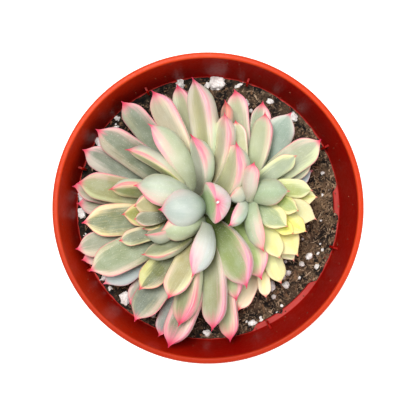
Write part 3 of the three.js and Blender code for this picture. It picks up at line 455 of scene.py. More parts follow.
    ["leaf_east_02", "D2", [17.56,0.46,77.38], [14.44,4.84,86.02], [18.22,5.48,89.28], [22.94,5.77,91.24], [27.73,5.76,92], [0.41,-0.23,-0.88], 4.88],
    ["leaf_east_03", "D3", [18.3,0.5,78.01], [18.81,7.69,82.17], [24.77,7.42,81.53], [30.92,6.9,82.27], [36.44,6.26,83.94], [-0.11,-0.17,0.98], 3.34],
    ["leaf_east_04", "D4", [15.72,0.36,75.87], [19.07,4.61,77.75], [25.63,4.47,76.77], [32.55,4.21,77.1], [38.84,3.89,78.36], [-0.03,-0.09,1], 3.9],
    ["bud_right", "D5", [20.51,0.62,80.08], [20.04,4.16,84.88], [24.19,2.5,85.21], [27.98,0.68,86.95], [31.03,-1.03,89.49], [-0.4,-0.04,0.91], 3.14],
    ["bud_right", "D6", [19.41,0.56,79.02], [18.71,2.09,83.87], [21.21,0.42,83.51], [23.83,-0.87,84.23], [26.22,-1.73,85.66], [-0.02,0.39,0.92], 2.15],
    ["leaf_east_05", "D7", [17.93,0.48,77.69], [15.16,3.11,85.44], [19.3,-0.7,85.86], [23.46,-3.99,88.02], [27.12,-6.46,91.2], [-0.12,0.4,0.91], 4.36],
    ["leaf_east_06", "D8", [18.3,0.5,78.01], [21.04,2.81,80.14], [26.82,0.67,79.51], [32.76,-1.67,80.32], [38.05,-3.85,82.09], [-0.13,-0.04,0.99], 4.57],
    ["leaf_east_07", "D9", [19.04,0.54,78.68], [20.94,0.35,81.66], [25.44,-2.77,81.69], [30.08,-5.78,83], [34.23,-8.32,85.09], [-0.1,0.23,0.97], 3.5],
    ["leaf_east_08", "D10", [18.67,0.52,78.34], [18.77,-0.7,82.79], [22.48,-3.8,83.22], [26.23,-6.64,84.92], [29.52,-8.95,87.33], [-0.14,0.33,0.93], 2.8],
    ["leaf_east_09", "D11", [14.99,0.31,75.31], [17.28,0.71,78.09], [22.06,-5.43,77.92], [27.12,-11.51,79.57], [31.73,-16.77,82.35], [-0.01,0.23,0.97], 5.83],
    ["stem", "D12", [13.54,0.22,74.23], [19.4,-2.88,72], [23.25,-8.36,72.07], [27.31,-13.96,73.29], [31,-18.93,75.2], [-0.02,0.18,0.98], 3.78],
    ["leaf_east_10", "D13", [17.2,0.44,77.06], [17.46,0.7,81.25], [19.63,-5.9,81.63], [22.2,-12.23,83.8], [24.73,-17.56,87.01], [0.14,0.35,0.93], 3.72],
    ["leaf_east_11", "D14", [14.26,0.27,74.76], [17.82,-1.43,74.58], [20.23,-10.15,74.53], [23,-19,76.3], [25.69,-26.82,79.18], [0.12,0.21,0.97], 3.58],
    ["stem", "D15", [13.54,0.22,74.23], [18.3,-6.12,72.33], [18.71,-14.91,72.78], [19.51,-23.92,74.7], [20.5,-31.92,77.47], [0.24,0.21,0.95], 2.37],
    ["stem", "D16", [14.99,0.31,75.31], [20.13,-15.15,71.86], [17.35,-22.59,71.42], [14.01,-30.19,72.24], [10.69,-36.93,73.89], [-0.28,0.21,0.94], 3.35],
]

# Colour sets: green field, cream field, back, pink, band (half-width share that stays green), pink amount
SETS = {
    '_A': ((131, 138, 105), (216, 206, 165), (185, 192, 181), (228, 112, 140), 0.5, 0.45),
    'A1': ((126, 134, 114), (160, 160, 132), (186, 177, 172), (232, 118, 144), 0.55, 0.55),
    'A2': ((110, 123, 97), (184, 173, 147), (186, 185, 177), (228, 118, 142), 0.55, 0.4),
    'A3': ((126, 135, 116), (197, 187, 170), (181, 186, 179), (224, 120, 144), 0.55, 0.4),
    'A4': ((193, 197, 130), (247, 242, 193), (162, 165, 158), (240, 70, 110), 0.35, 0.75),
    'A5': ((150, 148, 100), (202, 204, 155), (186, 188, 177), (232, 96, 130), 0.62, 0.42),
    'A6': ((152, 152, 124), (204, 192, 168), (182, 178, 158), (220, 110, 136), 0.55, 0.45),
    'A7': ((150, 152, 128), (204, 192, 172), (180, 176, 158), (220, 110, 136), 0.5, 0.5),
    'A8': ((107, 114, 75), (239, 218, 154), (188, 190, 172), (232, 92, 120), 0.42, 0.4),
    'A9': ((141, 141, 59), (212, 203, 120), (194, 192, 145), (236, 80, 110), 0.38, 0.45),
    'A10': ((141, 149, 85), (234, 220, 160), (180, 213, 191), (240, 70, 105), 0.42, 0.6),
    'A11': ((168, 159, 102), (220, 199, 148), (201, 194, 172), (240, 90, 110), 0.4, 0.5),
    'A12': ((119, 122, 92), (188, 181, 148), (181, 186, 163), (240, 100, 110), 0.5, 0.35),
    'A13': ((156, 167, 129), (197, 195, 158), (148, 155, 136), (226, 90, 110), 0.55, 0.4),
    'A14': ((112, 112, 58), (228, 210, 136), (172, 172, 126), (200, 30, 60), 0.4, 0.6),
    'A15': ((96, 105, 75), (200, 196, 138), (181, 186, 166), (214, 50, 84), 0.46, 0.35),
    'A16': ((147, 153, 117), (206, 200, 155), (149, 162, 144), (238, 80, 104), 0.5, 0.4),
    '_B': ((164, 171, 133), (247, 239, 220), (194, 194, 185), (236, 110, 148), 0.46, 0.7),
    'B1': ((186, 179, 150), (235, 226, 193), (235, 221, 215), (238, 112, 148), 0.48, 0.75),
    'B3': ((198, 203, 152), (243, 235, 218), (206, 236, 201), (238, 104, 150), 0.4, 0.55),
    'B4': ((160, 155, 126), (240, 190, 164), (217, 172, 154), (244, 140, 130), 0.4, 0.8),
    'B6': ((160, 155, 126), (240, 190, 164), (182, 168, 120), (244, 132, 110), 0.4, 0.85),
    'B5': ((192, 188, 153), (234, 232, 197), (215, 218, 190), (238, 124, 146), 0.44, 0.95),
    'B9': ((184, 179, 140), (227, 226, 205), (203, 205, 177), (236, 90, 100), 0.4, 0.35),
    'B10': ((190, 192, 153), (241, 233, 202), (172, 198, 167), (238, 96, 140), 0.5, 0.8),
    'B11': ((158, 166, 128), (212, 212, 178), (167, 180, 141), (240, 100, 146), 0.4, 0.55),
    'B12': ((187, 182, 166), (236, 247, 217), (168, 193, 158), (240, 66, 118), 0.5, 1.0),
    '_F': ((157, 171, 151), (232, 218, 189), (185, 196, 188), (238, 92, 136), 0.6, 0.5),
    'F1': ((141, 160, 145), (214, 209, 195), (173, 184, 177), (238, 96, 136), 0.6, 0.55),
    'F2': ((159, 180, 119), (212, 205, 182), (216, 193, 197), (240, 70, 128), 0.5, 1.0),
    'F3': ((141, 160, 123), (220, 215, 195), (174, 191, 170), (240, 96, 140), 0.45, 0.8),
    'F4': ((161, 173, 131), (228, 218, 183), (174, 181, 162), (240, 84, 124), 0.4, 0.5),
    'F5': ((161, 174, 123), (247, 236, 194), (167, 174, 137), (240, 90, 104), 0.4, 0.5),
    'F6': ((150, 160, 115), (216, 207, 181), (156, 162, 144), (238, 130, 120), 0.5, 0.5),
    '_E': ((150, 164, 115), (236, 221, 192), (201, 199, 192), (240, 104, 156), 0.5, 0.75),
    'E1': ((150, 162, 123), (215, 202, 185), (189, 193, 192), (240, 104, 150), 0.5, 0.8),
    'E2': ((149, 164, 108), (203, 195, 166), (238, 230, 219), (240, 98, 160), 0.52, 1.0),
    'E4': ((150, 173, 135), (217, 213, 189), (140, 158, 110), (240, 120, 130), 0.4, 0.85),
    '_G': ((137, 147, 115), (212, 203, 169), (177, 186, 176), (230, 104, 132), 0.58, 0.38),
    'G2': ((130, 136, 108), (206, 192, 164), (182, 182, 160), (220, 100, 130), 0.55, 0.4),
    'G3': ((148, 150, 126), (204, 190, 172), (182, 176, 158), (226, 112, 140), 0.5, 0.5),
    'G4': ((161, 175, 174), (160, 164, 165), (163, 174, 168), (216, 120, 140), 0.7, 0.22),
    'G5': ((98, 107, 57), (204, 200, 126), (190, 188, 154), (234, 96, 110), 0.36, 0.35),
    'G6': ((94, 108, 88), (158, 153, 120), (172, 183, 174), (226, 84, 120), 0.58, 0.35),
    'G7': ((150, 148, 130), (200, 184, 170), (181, 165, 161), (220, 130, 146), 0.5, 0.4),
    '_H': ((163, 171, 131), (247, 239, 209), (192, 196, 186), (240, 92, 132), 0.46, 0.75),
    'H0': ((121, 126, 120), (181, 177, 173), (177, 179, 176), (216, 120, 146), 0.6, 0.4),
    'H1': ((133, 136, 111), (236, 214, 194), (247, 221, 220), (240, 90, 136), 0.44, 1.0),
    'H2': ((154, 161, 117), (235, 223, 188), (172, 187, 148), (242, 70, 120), 0.42, 1.0),
    'H3': ((162, 160, 123), (202, 196, 173), (236, 233, 223), (240, 104, 146), 0.46, 0.9),
    'H4': ((169, 160, 108), (223, 216, 170), (201, 197, 172), (242, 90, 130), 0.36, 0.6),
    '_C': ((143, 160, 135), (214, 209, 170), (172, 188, 176), (228, 112, 138), 0.55, 0.35),
    'C1': ((156, 169, 137), (247, 238, 221), (201, 186, 181), (236, 110, 140), 0.5, 0.65),
    'C2': ((184, 192, 163), (212, 214, 178), (230, 233, 215), (238, 104, 140), 0.5, 0.6),
    'C3': ((141, 155, 143), (185, 195, 180), (168, 185, 174), (220, 130, 150), 0.65, 0.25),
    'C4': ((164, 172, 145), (208, 214, 172), (172, 190, 172), (240, 92, 130), 0.48, 0.42),
    'C5': ((169, 183, 152), (223, 225, 169), (165, 185, 168), (232, 60, 90), 0.4, 0.15),
    'C6': ((150, 165, 170), (186, 194, 193), (161, 179, 176), (226, 130, 150), 0.6, 0.2),
    '_D': ((221, 215, 130), (230, 225, 158), (246, 240, 170), (236, 70, 80), 0.18, 0.1),
    'D1': ((160, 186, 130), (224, 220, 184), (190, 166, 158), (238, 84, 126), 0.4, 1.0),
    'D2': ((132, 155, 118), (184, 186, 145), (152, 168, 131), (238, 110, 120), 0.4, 0.22),
    'D3': ((161, 171, 100), (221, 219, 162), (205, 210, 145), (236, 60, 90), 0.25, 0.12),
    'D4': ((200, 204, 102), (234, 232, 169), (223, 219, 159), (236, 60, 90), 0.22, 0.1),
    'D5': ((154, 168, 86), (233, 230, 149), (181, 194, 126), (236, 60, 90), 0.45, 0.15),
    'D6': ((166, 190, 110), (232, 236, 170), (194, 201, 145), (236, 60, 90), 0.4, 0.2),
    'D7': ((158, 172, 128), (247, 238, 169), (201, 207, 166), (236, 60, 90), 0.4, 0.12),
    'D8': ((204, 201, 146), (209, 200, 151), (240, 234, 184), (236, 110, 110), 0.18, 0.1),
    'D9': ((218, 205, 83), (221, 213, 126), (250, 242, 120), (236, 60, 80), 0.14, 0.1),
    'D10': ((220, 213, 92), (228, 227, 119), (250, 242, 126), (236, 60, 80), 0.14, 0.12),
    'D16': ((247, 237, 196), (234, 213, 181), (236, 196, 160), (240, 120, 120), 0.2, 0.5),
    'D12': ((236, 234, 170), (247, 245, 200), (236, 232, 176), (236, 70, 80), 0.18, 0.1),
    'D15': ((246, 236, 168), (235, 219, 182), (244, 234, 170), (236, 70, 80), 0.18, 0.1),
    'C7': ((141, 160, 139), (241, 242, 202), (176, 198, 178), (230, 100, 130), 0.5, 0.3),
    'E3': ((178, 202, 134), (224, 217, 178), (201, 199, 192), (240, 104, 156), 0.5, 0.95),
    'H5': ((193, 211, 153), (239, 239, 197), (192, 196, 186), (240, 92, 132), 0.46, 0.9),
    'D13': ((218, 213, 142), (226, 219, 159), (246, 240, 170), (236, 70, 80), 0.18, 0.1),
    'D11': ((215, 208, 119), (219, 210, 145), (246, 240, 170), (236, 70, 80), 0.18, 0.1),
    'G1': ((127, 137, 99), (197, 187, 153), (177, 186, 176), (230, 104, 132), 0.58, 0.38),
    'B2': ((186, 196, 156), (232, 241, 208), (194, 194, 185), (236, 110, 148), 0.46, 0.7),
    'B7': ((186, 190, 153), (236, 228, 210), (194, 194, 185), (236, 110, 148), 0.46, 0.7),
    'E5': ((178, 191, 138), (238, 223, 194), (201, 199, 192), (240, 104, 156), 0.5, 0.75),
    'D14': ((224, 231, 155), (208, 203, 142), (246, 240, 170), (236, 70, 80), 0.18, 0.1),
}

# Side of the leaf that carries the flush, as a direction seen from above
_R, _L, _U, _D = (1, 0), (-1, 0), (0, 1), (0, -1)
SUN = {
    "A1": _U, "A2": _U, "A3": _U, "A4": _L, "A5": _U, "A8": _U, "A10": _U, "A15": _L,
    "B1": _R, "B2": _R, "B3": _R, "B5": _R, "B6": _R, "B7": _R, "B10": _R, "B11": _L, "B12": _R,
    "C1": _R, "C2": _R, "C4": _U, "C5": _U, "D1": _R, "E1": _L, "E2": _R, "E3": _R, "E4": _R, "E5": _R,
    "F1": _L, "F2": _R, "F3": _L, "F4": _L, "F5": _L, "G1": _D, "G5": _D, "G6": _D,
    "H1": _L, "H2": _R, "H3": _R, "H4": _L, "H5": _R,
}

NU, NV = 40, 36
# share of the half width: along the blade, and by distance from the tip in half widths
SWELL = (np.array([0, 0.12, 0.3, 0.5, 0.62, 1.0]), np.array([0.50, 0.64, 0.87, 0.985, 1.0, 1.0001]))
TAPER = (
    np.array([0, 0.08, 0.18, 0.3, 0.44, 0.62, 0.88, 1.2, 1.7, 40.0]),
    np.array([0.02, 0.04, 0.09, 0.20, 0.36, 0.57, 0.79, 0.94, 1.0, 1.0001]),
)


def pchip(x, xs, ys):
    """Monotone cubic through the points."""
    h = np.diff(xs)
    d = np.diff(ys) / h
    m = np.zeros(len(xs))
    m[0], m[-1] = d[0], d[-1]
    for i in range(1, len(xs) - 1):
        if d[i - 1] * d[i] > 0:
            w1, w2 = 2 * h[i] + h[i - 1], h[i] + 2 * h[i - 1]
            m[i] = (w1 + w2) / (w1 / d[i - 1] + w2 / d[i])
    k = np.clip(np.searchsorted(xs, x) - 1, 0, len(h) - 1)
    t = (x - xs[k]) / h[k]
    return (
        (2 * t**3 - 3 * t**2 + 1) * ys[k]
        + (t**3 - 2 * t**2 + t) * h[k] * m[k]
        + (-2 * t**3 + 3 * t**2) * ys[k + 1]
        + (t**3 - t**2) * h[k] * m[k + 1]
    )


def bez(P, u):
    u = np.asarray(u)[..., None]
    a, b, c, d = [np.asarray(p, float) for p in P]
    return (1 - u) ** 3 * a + 3 * (1 - u) ** 2 * u * b + 3 * (1 - u) * u * u * c + u**3 * d


def dbez(P, u):
    u = np.asarray(u)[..., None]
    a, b, c, d = [np.asarray(p, float) for p in P]
    return 3 * (1 - u) ** 2 * (b - a) + 6 * (1 - u) * u * (c - b) + 3 * u * u * (d - c)


def make_leaf(i, row):
    node, kind, hub, p0, p1, p2, p3, face, w = row
    hub, p0, p3 = np.array(hub, float), np.array(p0, float), np.array(p3, float)
    P = (p0, p1, p2, p3)
    n0 = np.array(face, float)
    L = np.linalg.norm(p3 - p0)
    loc = np.random.default_rng(1000 + i)
    # stations: the neck from the stem, then the blade, closer together towards the tip
    t = np.linspace(0, 1, NU)
    ub = 1 - (1 - t) ** 1.35
    c = bez(P, ub)
    d = dbez(P, ub)
    d /= np.linalg.norm(d, axis=1)[:, None]
    f = pchip(ub, *SWELL) * pchip((1 - ub) * max(L / w, 3.4), *TAPER) * w
    # the tip hooks a little towards the inner face and to one side
    hook = np.clip((ub - 0.93) / 0.07, 0, 1) ** 2
    side0 = np.cross(d[-1], n0)
    side0 /= np.linalg.norm(side0)
    c = c + hook[:, None] * (n0 * 0.012 * L + side0 * loc.uniform(-0.016, 0.016) * L)
    width = np.where(ub > 0.965, np.maximum(f, 0.26 - 0.2 * (ub - 0.965) / 0.035), f)
    back = f * (0.94 - 0.12 * ub)
    back *= np.where(ub < 0.1, 0.8 + 2 * ub, 1.0)
    front = f * 0.24 + 0.25 * (1 - ub)
    back = np.maximum(back, np.where(ub > 0.93, 0.22 - 0.1 * (ub - 0.93) / 0.07, 0))
    front = np.maximum(front, np.where(ub > 0.93, 0.18 - 0.1 * (ub - 0.93) / 0.07, 0))
    neck = np.linalg.norm(p0 - hub)
    uu = list(ub)
    if neck > 0.8:
        k = 5
        s = np.linspace(0, 1, k + 1)[:-1]
        nc = hub + (p0 - hub) * s[:, None]
        nd = np.repeat(((p0 - hub) / neck)[None], k, 0)
        # turn into the blade's own direction
        nd = nd * (1 - s[:, None] ** 2) + d[0] * s[:, None] ** 2
        nd /= np.linalg.norm(nd, axis=1)[:, None]
        c = np.vstack([nc, c])
        d = np.vstack([nd, d])
        width = np.concatenate([w * (0.30 + 0.10 * s), width])
        back = np.concatenate([w * (0.26 + 0.0 * s), back])
        front = np.concatenate([w * 0.2 + 0 * s, front])
        uu = list(-0.12 + 0.12 * s) + uu
    uu = np.array(uu)
    n = n0[None] - (d @ n0)[:, None] * d
    n /= np.linalg.norm(n, axis=1)[:, None]
    b = np.cross(d, n)
    phi = 2 * np.pi * np.arange(NV) / NV
    x = np.cos(phi)
    y = np.sin(phi)
    # gather points at the margins, which are crisp
    x = np.sign(x) * (1 - (1 - np.abs(x)) ** 1.15)
    verts, luv = [], []
    ax = np.clip(np.abs(x), 0, 1)
    groove = 0.10 + 0.06 * loc.random()
    cup = 0.06 + 0.08 * loc.random()
    for j in range(len(uu)):
        tipness = np.clip((uu[j] - 0.45) / 0.5, 0, 1)
        zf = front[j] * (1 - ax**2) ** 0.62 - width[j] * groove * (1 - ax**2) ** 2 * (
            1 - 0.5 * tipness
        ) * (uu[j] < 0.95)
        rnd = (1 - ax**1.9) ** 0.62
        keel = (1 - ax) ** 0.85
        zb = -back[j] * ((1 - 0.38 * tipness) * rnd + 0.38 * tipness * keel)
        zz = np.where(y >= 0, zf, zb) + width[j] * cup * ax**2 * min(
            1, max(0, uu[j] * 2)
        )
        wv = 1 + 0.012 * np.sin(9 * uu[j] + i + 2 * np.sign(x))
        pts = c[j] + b[j] * (width[j] * x * wv)[:, None] + n[j] * zz[:, None]
        verts.append(pts)
        luv.append(
            np.stack([np.full(NV, uu[j]), x, np.clip(y * 2.2, -1, 1)], axis=1)
        )
    R = len(uu)
    V = np.vstack(verts)
    A = np.vstack(luv)
    V = np.vstack([V, c[0] - d[0] * 0.1, c[-1] + d[-1] * 0.12])
    A = np.vstack([A, [uu[0], 0, -1], [1, 0, 0]])
    # very slight swelling so that no two blades are alike
    idx = np.arange(R * NV).reshape(R, NV)
    faces = []
    for r in range(R - 1):
        for k in range(NV):
            k2 = (k + 1) % NV
            faces.append((idx[r, k], idx[r, k2], idx[r + 1, k2], idx[r + 1, k]))
    for k in range(NV):
        k2 = (k + 1) % NV
        faces.append((R * NV, idx[0, k2], idx[0, k]))
        faces.append((R * NV + 1, idx[R - 1, k], idx[R - 1, k2]))
    # outward facing?
    q = V[list(faces[len(faces) // 2 // 2])]
    faces = [tuple(int(a) for a in f) for f in faces]
    ob = mesh_object("leaf_%s" % kind.lower(), V * MM, faces, LEAF)
    bm = bmesh.new()
    bm.from_mesh(ob.data)
    bmesh.ops.recalc_face_normals(bm, faces=bm.faces)
    bm.to_mesh(ob.data)
    bm.free()
    st = SETS.get(kind) or SETS["_" + kind[0]]
    green, cream, bk, tint, band, pk = st
    j = lambda cc, a: np.clip(np.array(srgb(*cc)[:3]) * (1 + loc.uniform(-a, a, 3)), 0, 1)
    g, cr, bb, tt = j(green, 0.05), j(cream, 0.03), j(bk, 0.03), j(tint, 0.04)
    nv = len(V)
    U = np.clip(A[:, 0], 0, 1)
    # painted shade: the bases, where the blades crowd together, are darker; they are also greener
    low = np.clip(1 - U / 0.45, 0, 1)[:, None]
    G = g[None] * (1 - 0.34 * low) + 0 * V
    C = cr[None] * (1 - 0.45 * low) + g[None] * 0.45 * low * 0.9
    B = bb[None] * (1 - 0.35 * low) + g[None] * 0.35 * low
    T = np.repeat(tt[None], nv, 0)
    way = SUN.get(kind)
    side = 0.0 if way is None else float(np.sign(b[len(uu) // 2][:2] @ np.array(way)))

    def put(name, arr, typ, alpha=1.0):
        a = ob.data.attributes.new(name, typ, "POINT")
        if typ == "FLOAT_VECTOR":
            a.data.foreach_set("vector", np.ascontiguousarray(arr, dtype=np.float32).ravel())
        else:
            full = np.concatenate([arr, np.full((nv, 1), alpha)], axis=1)
            a.data.foreach_set("color", np.ascontiguousarray(full, dtype=np.float32).ravel())

    put("leaf", A, "FLOAT_VECTOR")
    put(
        "par",
        np.repeat([[band + loc.uniform(-0.06, 0.06), pk, 10.0 * loc.random() + i]], nv, 0),
        "FLOAT_VECTOR",
    )
    put("c_green", G, "FLOAT_COLOR")
    put("c_cream", C, "FLOAT_COLOR")
    put("c_back", B, "FLOAT_COLOR")
    put("c_pink", T, "FLOAT_COLOR", 0.5 + 0.5 * side)
    slot = (
        "stem" if node == "stem" else "bud" if node.startswith("bud") else "leaf_" + node.split("_")[1]
    )
    return piece(ob, slot, node)


for i, row in enumerate(LEAVES):
    make_leaf(i, row)


# ------------------------------------------------------------------ stem
def tube(name, P, r0, r1, mat, steps=36, n=20, seed=0.0):
    verts, faces = [], []
    for i in range(steps + 1):
        u = i / steps
        c = bez(P, u)
        d = dbez(P, u)
        d /= np.linalg.norm(d)
        a = np.array([0, 1.0, 0]) - d[1] * d
        a /= np.linalg.norm(a)
        b = np.cross(d, a)
        r = r0 + (r1 - r0) * u
        for k in range(n):
            t = 2 * np.pi * k / n
            p = c + (a * math.cos(t) + b * math.sin(t)) * r
            s = 0.35 * noise.noise(Vector(tuple(p * 0.45 + seed)))
            p = p + (a * math.cos(t) + b * math.sin(t)) * (s + 0.18 * math.sin(u * 60))
            verts.append(p * MM)
    for i in range(steps):
        for k in range(n):
            k2 = (k + 1) % n
            faces.append((i * n + k, i * n + k2, (i + 1) * n + k2, (i + 1) * n + k))
    a, b = len(verts), len(verts) + 1
    e0 = bez(P, 0.0) - 0.4 * dbez(P, 0.0) / np.linalg.norm(dbez(P, 0.0))
    e1 = bez(P, 1.0) + 0.8 * dbez(P, 1.0) / np.linalg.norm(dbez(P, 1.0))
    verts += [e0 * MM, e1 * MM]
    for k in range(n):
        k2 = (k + 1) % n
        faces.append((a, k2, k))
        faces.append((b, steps * n + k, steps * n + k2))
    return mesh_object(name, verts, faces, mat)


for side, P in BRANCHES.items():
    piece(tube("stem_" + side, P, 4.5, 2.5, STEM, seed=3.1), "stem", "stem")


# ------------------------------------------------------------------ pot
def inner(z):
    return 46.3 - (66.0 - z) * 0.1885


def rounded(profile, r=0.35, seg=3):
    """Rounds each corner of an open profile by up to r mm."""
    out = [profile[0]]
    for a, b, c in zip(profile, profile[1:], profile[2:]):
        a, b, c = map(np.array, (a, b, c))
        da, dc = a - b, c - b
        la, lc = np.linalg.norm(da), np.linalg.norm(dc)
        k = min(r, la * 0.45, lc * 0.45)
        p, q = b + da / la * k, b + dc / lc * k
        for t in np.linspace(0, 1, seg):
            out.append(tuple((1 - t) ** 2 * p + 2 * t * (1 - t) * b + t * t * q))
    out.append(profile[-1])
    return out


def lathe(name, profile, n, mat):
    verts, faces = [], []
    rings = []
    for r, z in profile:
        if r < 1e-6:
            rings.append([len(verts)])
            verts.append((0, 0, z * MM))
        else:
            rings.append(list(range(len(verts), len(verts) + n)))
            for k in range(n):
                t = 2 * math.pi * k / n
                verts.append((r * MM * math.cos(t), r * MM * math.sin(t), z * MM))
    for a, b in zip(rings, rings[1:]):
        for k in range(n):
            k2 = (k + 1) % n
            if len(a) == 1:
                faces.append((a[0], b[k2], b[k]))
            elif len(b) == 1:
                faces.append((a[k], a[k2], b[0]))
            else:
                faces.append((a[k], a[k2], b[k2], b[k]))
    ob = mesh_object(name, verts, faces, mat)
    bm = bmesh.new()
    bm.from_mesh(ob.data)
    bmesh.ops.recalc_face_normals(bm, faces=bm.faces)
    bm.to_mesh(ob.data)
    bm.free()
    return ob


prof = [
    (0, 2.6), (27, 2.6), (31.8, 2.6), (32.3, 0.0), (34.66, 0.0), (35.3, 0.9),
    (38.1, 16.0), (41.6, 34.5), (44.7, 51.0), (46.95, 62.8), (49.2, 63.2), (49.5, 63.8),
    (51.2, 73.0), (53.05, 82.6), (53.8, 82.6), (54.0, 83.1), (54.0, 85.3), (53.5, 86.0),
    (52.2, 86.0), (51.9, 85.6), (50.67, 79.0), (49.45, 72.5), (48.2, 66.0), (46.3, 66.0),
    (43.5, 51.0), (40.3, 34.0), (37.1, 17.2), (34.65, 4.2), (27, 4.2), (0, 4.2),
]
pot = lathe("pot_shell", rounded(prof, 0.45, 4), 256, POT)
cut = bmesh.new()
for i in range(8):
    t = math.radians(22.5 + 45 * i)
    mtx = Matrix.Translation((26.8 * MM * math.cos(t), 26.8 * MM * math.sin(t), 3.4 * MM))
    bmesh.ops.create_cone(
        cut, cap_ends=True, segments=40, radius1=3.6 * MM, radius2=3.6 * MM, depth=8 * MM, matrix=mtx
    )
cm = bpy.data.meshes.new("cutters")
cut.to_mesh(cm)
cut.free()
co = bpy.data.objects.new("cutters", cm)
scene.collection.objects.link(co)
mod = pot.modifiers.new("holes", "BOOLEAN")
mod.operation = "DIFFERENCE"
mod.solver = "EXACT"
mod.object = co
dg = bpy.context.evaluated_depsgraph_get()
new = bpy.data.meshes.new_from_object(pot.evaluated_get(dg))
pot.modifiers.clear()
old = pot.data
pot.data = new
bpy.data.objects.remove(co)
new.polygons.foreach_set("use_smooth", [True] * len(new.polygons))
if hasattr(new, "set_sharp_from_angle"):
    new.set_sharp_from_angle(angle=math.radians(42))
piece(pot, "pot", "pot")

fin_bm = bmesh.new()
for i in range(8):
    t = math.radians(27.5 + 45 * i)
    c = Vector((math.cos(t), math.sin(t), 0))
    s = Vector((-math.sin(t), math.cos(t), 0))
    pts = [(46.55, 65.8), (48.6, 65.8), (49.5, 71.0), (47.7, 71.0), (47.1, 70.3), (46.55, 68.6)]
    ring = []
    for sgn in (-0.42, 0.42):
        ring.append(
            [fin_bm.verts.new((c * r + s * sgn) * MM + Vector((0, 0, z * MM))) for r, z in pts]
        )
    fin_bm.faces.new(ring[0])
    fin_bm.faces.new(list(reversed(ring[1])))
    m = len(pts)
    for k in range(m):
        k2 = (k + 1) % m
        fin_bm.faces.new((ring[0][k], ring[1][k], ring[1][k2], ring[0][k2]))
bmesh.ops.recalc_face_normals(fin_bm, faces=fin_bm.faces)
bmesh.ops.bevel(
    fin_bm, geom=list(fin_bm.edges), offset=0.12 * MM, segments=2, profile=0.5, affect="EDGES"
)
fm = bpy.data.meshes.new("pot_fins")
fin_bm.to_mesh(fm)
fin_bm.free()
fm.materials.append(POT)
fins = bpy.data.objects.new("pot_fins", fm)
scene.collection.objects.link(fins)
piece(fins, "pot", "pot")


# ------------------------------------------------------------------ potting mix
def soil_z(x, y):
    """Top of the mix in mm."""
    r = math.hypot(x, y)
    base = 65.3 + 2.2 * max(0, 1 - (r / 46) ** 2)
    # dips to the right and lower right, stands a bit higher on the left
    t = math.atan2(y, x)
    base -= 0.9 * max(0, math.cos(t + 0.5)) * min(1, r / 30)
    lump = noise.fractal(Vector((x * 0.11, y * 0.11, 1.7)), 0.9, 2.1, 3) * 1.0
    crumb = noise.fractal(Vector((x * 0.55, y * 0.55, 4.2)), 0.7, 2.2, 4) * 0.75
    grit = noise.noise(Vector((x * 2.1, y * 2.1, 9.0))) * 0.28
    k = min(1.0, max(0.0, (46.3 - r) / 3.0) + 0.3)
    return base + (lump + crumb) * k + grit


def spill(t):
    """How far the mix lies over the ledge, 0 to 1: all the way round but for patches at the right and the lower right."""
    bare = 0.0
    for at, half in ((3, 4), (-39, 2.5), (-48, 5), (-62, 5)):
        k = abs(math.degrees(t) - at) if t < math.pi else abs(math.degrees(t) - 360 - at)
        bare = max(bare, 1 - max(0.0, min(1.0, (k - half) / 3.0)))
    wob = 0.5 + 0.5 * noise.noise(Vector((math.cos(t) * 22, math.sin(t) * 22, 3.3)))
    return min(1.0, max(0.03, (1 - bare) * (0.72 + 0.5 * wob)))


def soil():
    verts, faces, tone = [], [], []
    radii = list(np.concatenate([np.linspace(0.0, 30, 52)[1:], np.linspace(30, 47.95, 64)[1:]]))
    n = 320
    verts.append((0, 0, soil_z(0, 0)))
    rings = [[0]]
    for r in radii:
        ring = []
        for k in range(n):
            t = 2 * math.pi * k / n
            rr = r if r < 46.05 else 46.05 + (r - 46.05) * spill(t)
            x, y = rr * math.cos(t), rr * math.sin(t)
            z = min(soil_z(x, y), 68.6)
            if rr > 46.2:
                z = max(z, 66.12) + 0.05 * (r - 46)
            ring.append(len(verts))
            verts.append((x, y, z))
        rings.append(ring)
    for r, z in ((46.05, 65.3), (45.7, 64.0), (43.0, 49.5), (38.7, 27.0), (34.4, 4.7)):
        ring = []
        for k in range(n):
            t = 2 * math.pi * k / n
            rr = r if z > 60 or z < 5 else r - 0.2 + 0.15 * noise.noise(
                Vector((math.cos(t) * 9, math.sin(t) * 9, z))
            )
            ring.append(len(verts))
            verts.append((rr * math.cos(t), rr * math.sin(t), z))
        rings.append(ring)
    for rr in (30.0, 15.0):
        ring = []
        for k in range(n):
            t = 2 * math.pi * k / n
            x, y = rr * math.cos(t), rr * math.sin(t)
            ring.append(len(verts))
            verts.append((x, y, 4.75 + 0.25 * noise.noise(Vector((x * 0.5, y * 0.5, 0)))))
        rings.append(ring)
    rings.append([len(verts)])
    verts.append((0, 0, 4.7))
    for a, b in zip(rings, rings[1:]):
        for k in range(n):
            k2 = (k + 1) % n
            if len(a) == 1:
                faces.append((a[0], b[k], b[k2]))
            elif len(b) == 1:
                faces.append((a[k], b[0], a[k2]))
            else:
                faces.append((a[k], b[k], b[k2], a[k2]))
    V = np.array(verts)
    ob = mesh_object("mix_body", V * MM, faces, SOIL)
    a = ob.data.attributes.new("soil", "FLOAT_COLOR", "POINT")
    t = np.arctan2(V[:, 1], V[:, 0])
    # painted light and shade: paler on the right, where the light falls, and darker on the left, in the shade of the
    # wall
    soil_lit_side = np.clip(0.56 + 0.56 * np.cos(t + 0.25), 0.16, 1.1)
    tone = np.stack([soil_lit_side * 1.02, soil_lit_side, soil_lit_side * 0.97, np.ones(len(V))], axis=1)
    a.data.foreach_set("color", tone.astype(np.float32).ravel())
    return piece(ob, "potting_mix", "potting_mix")


soil()


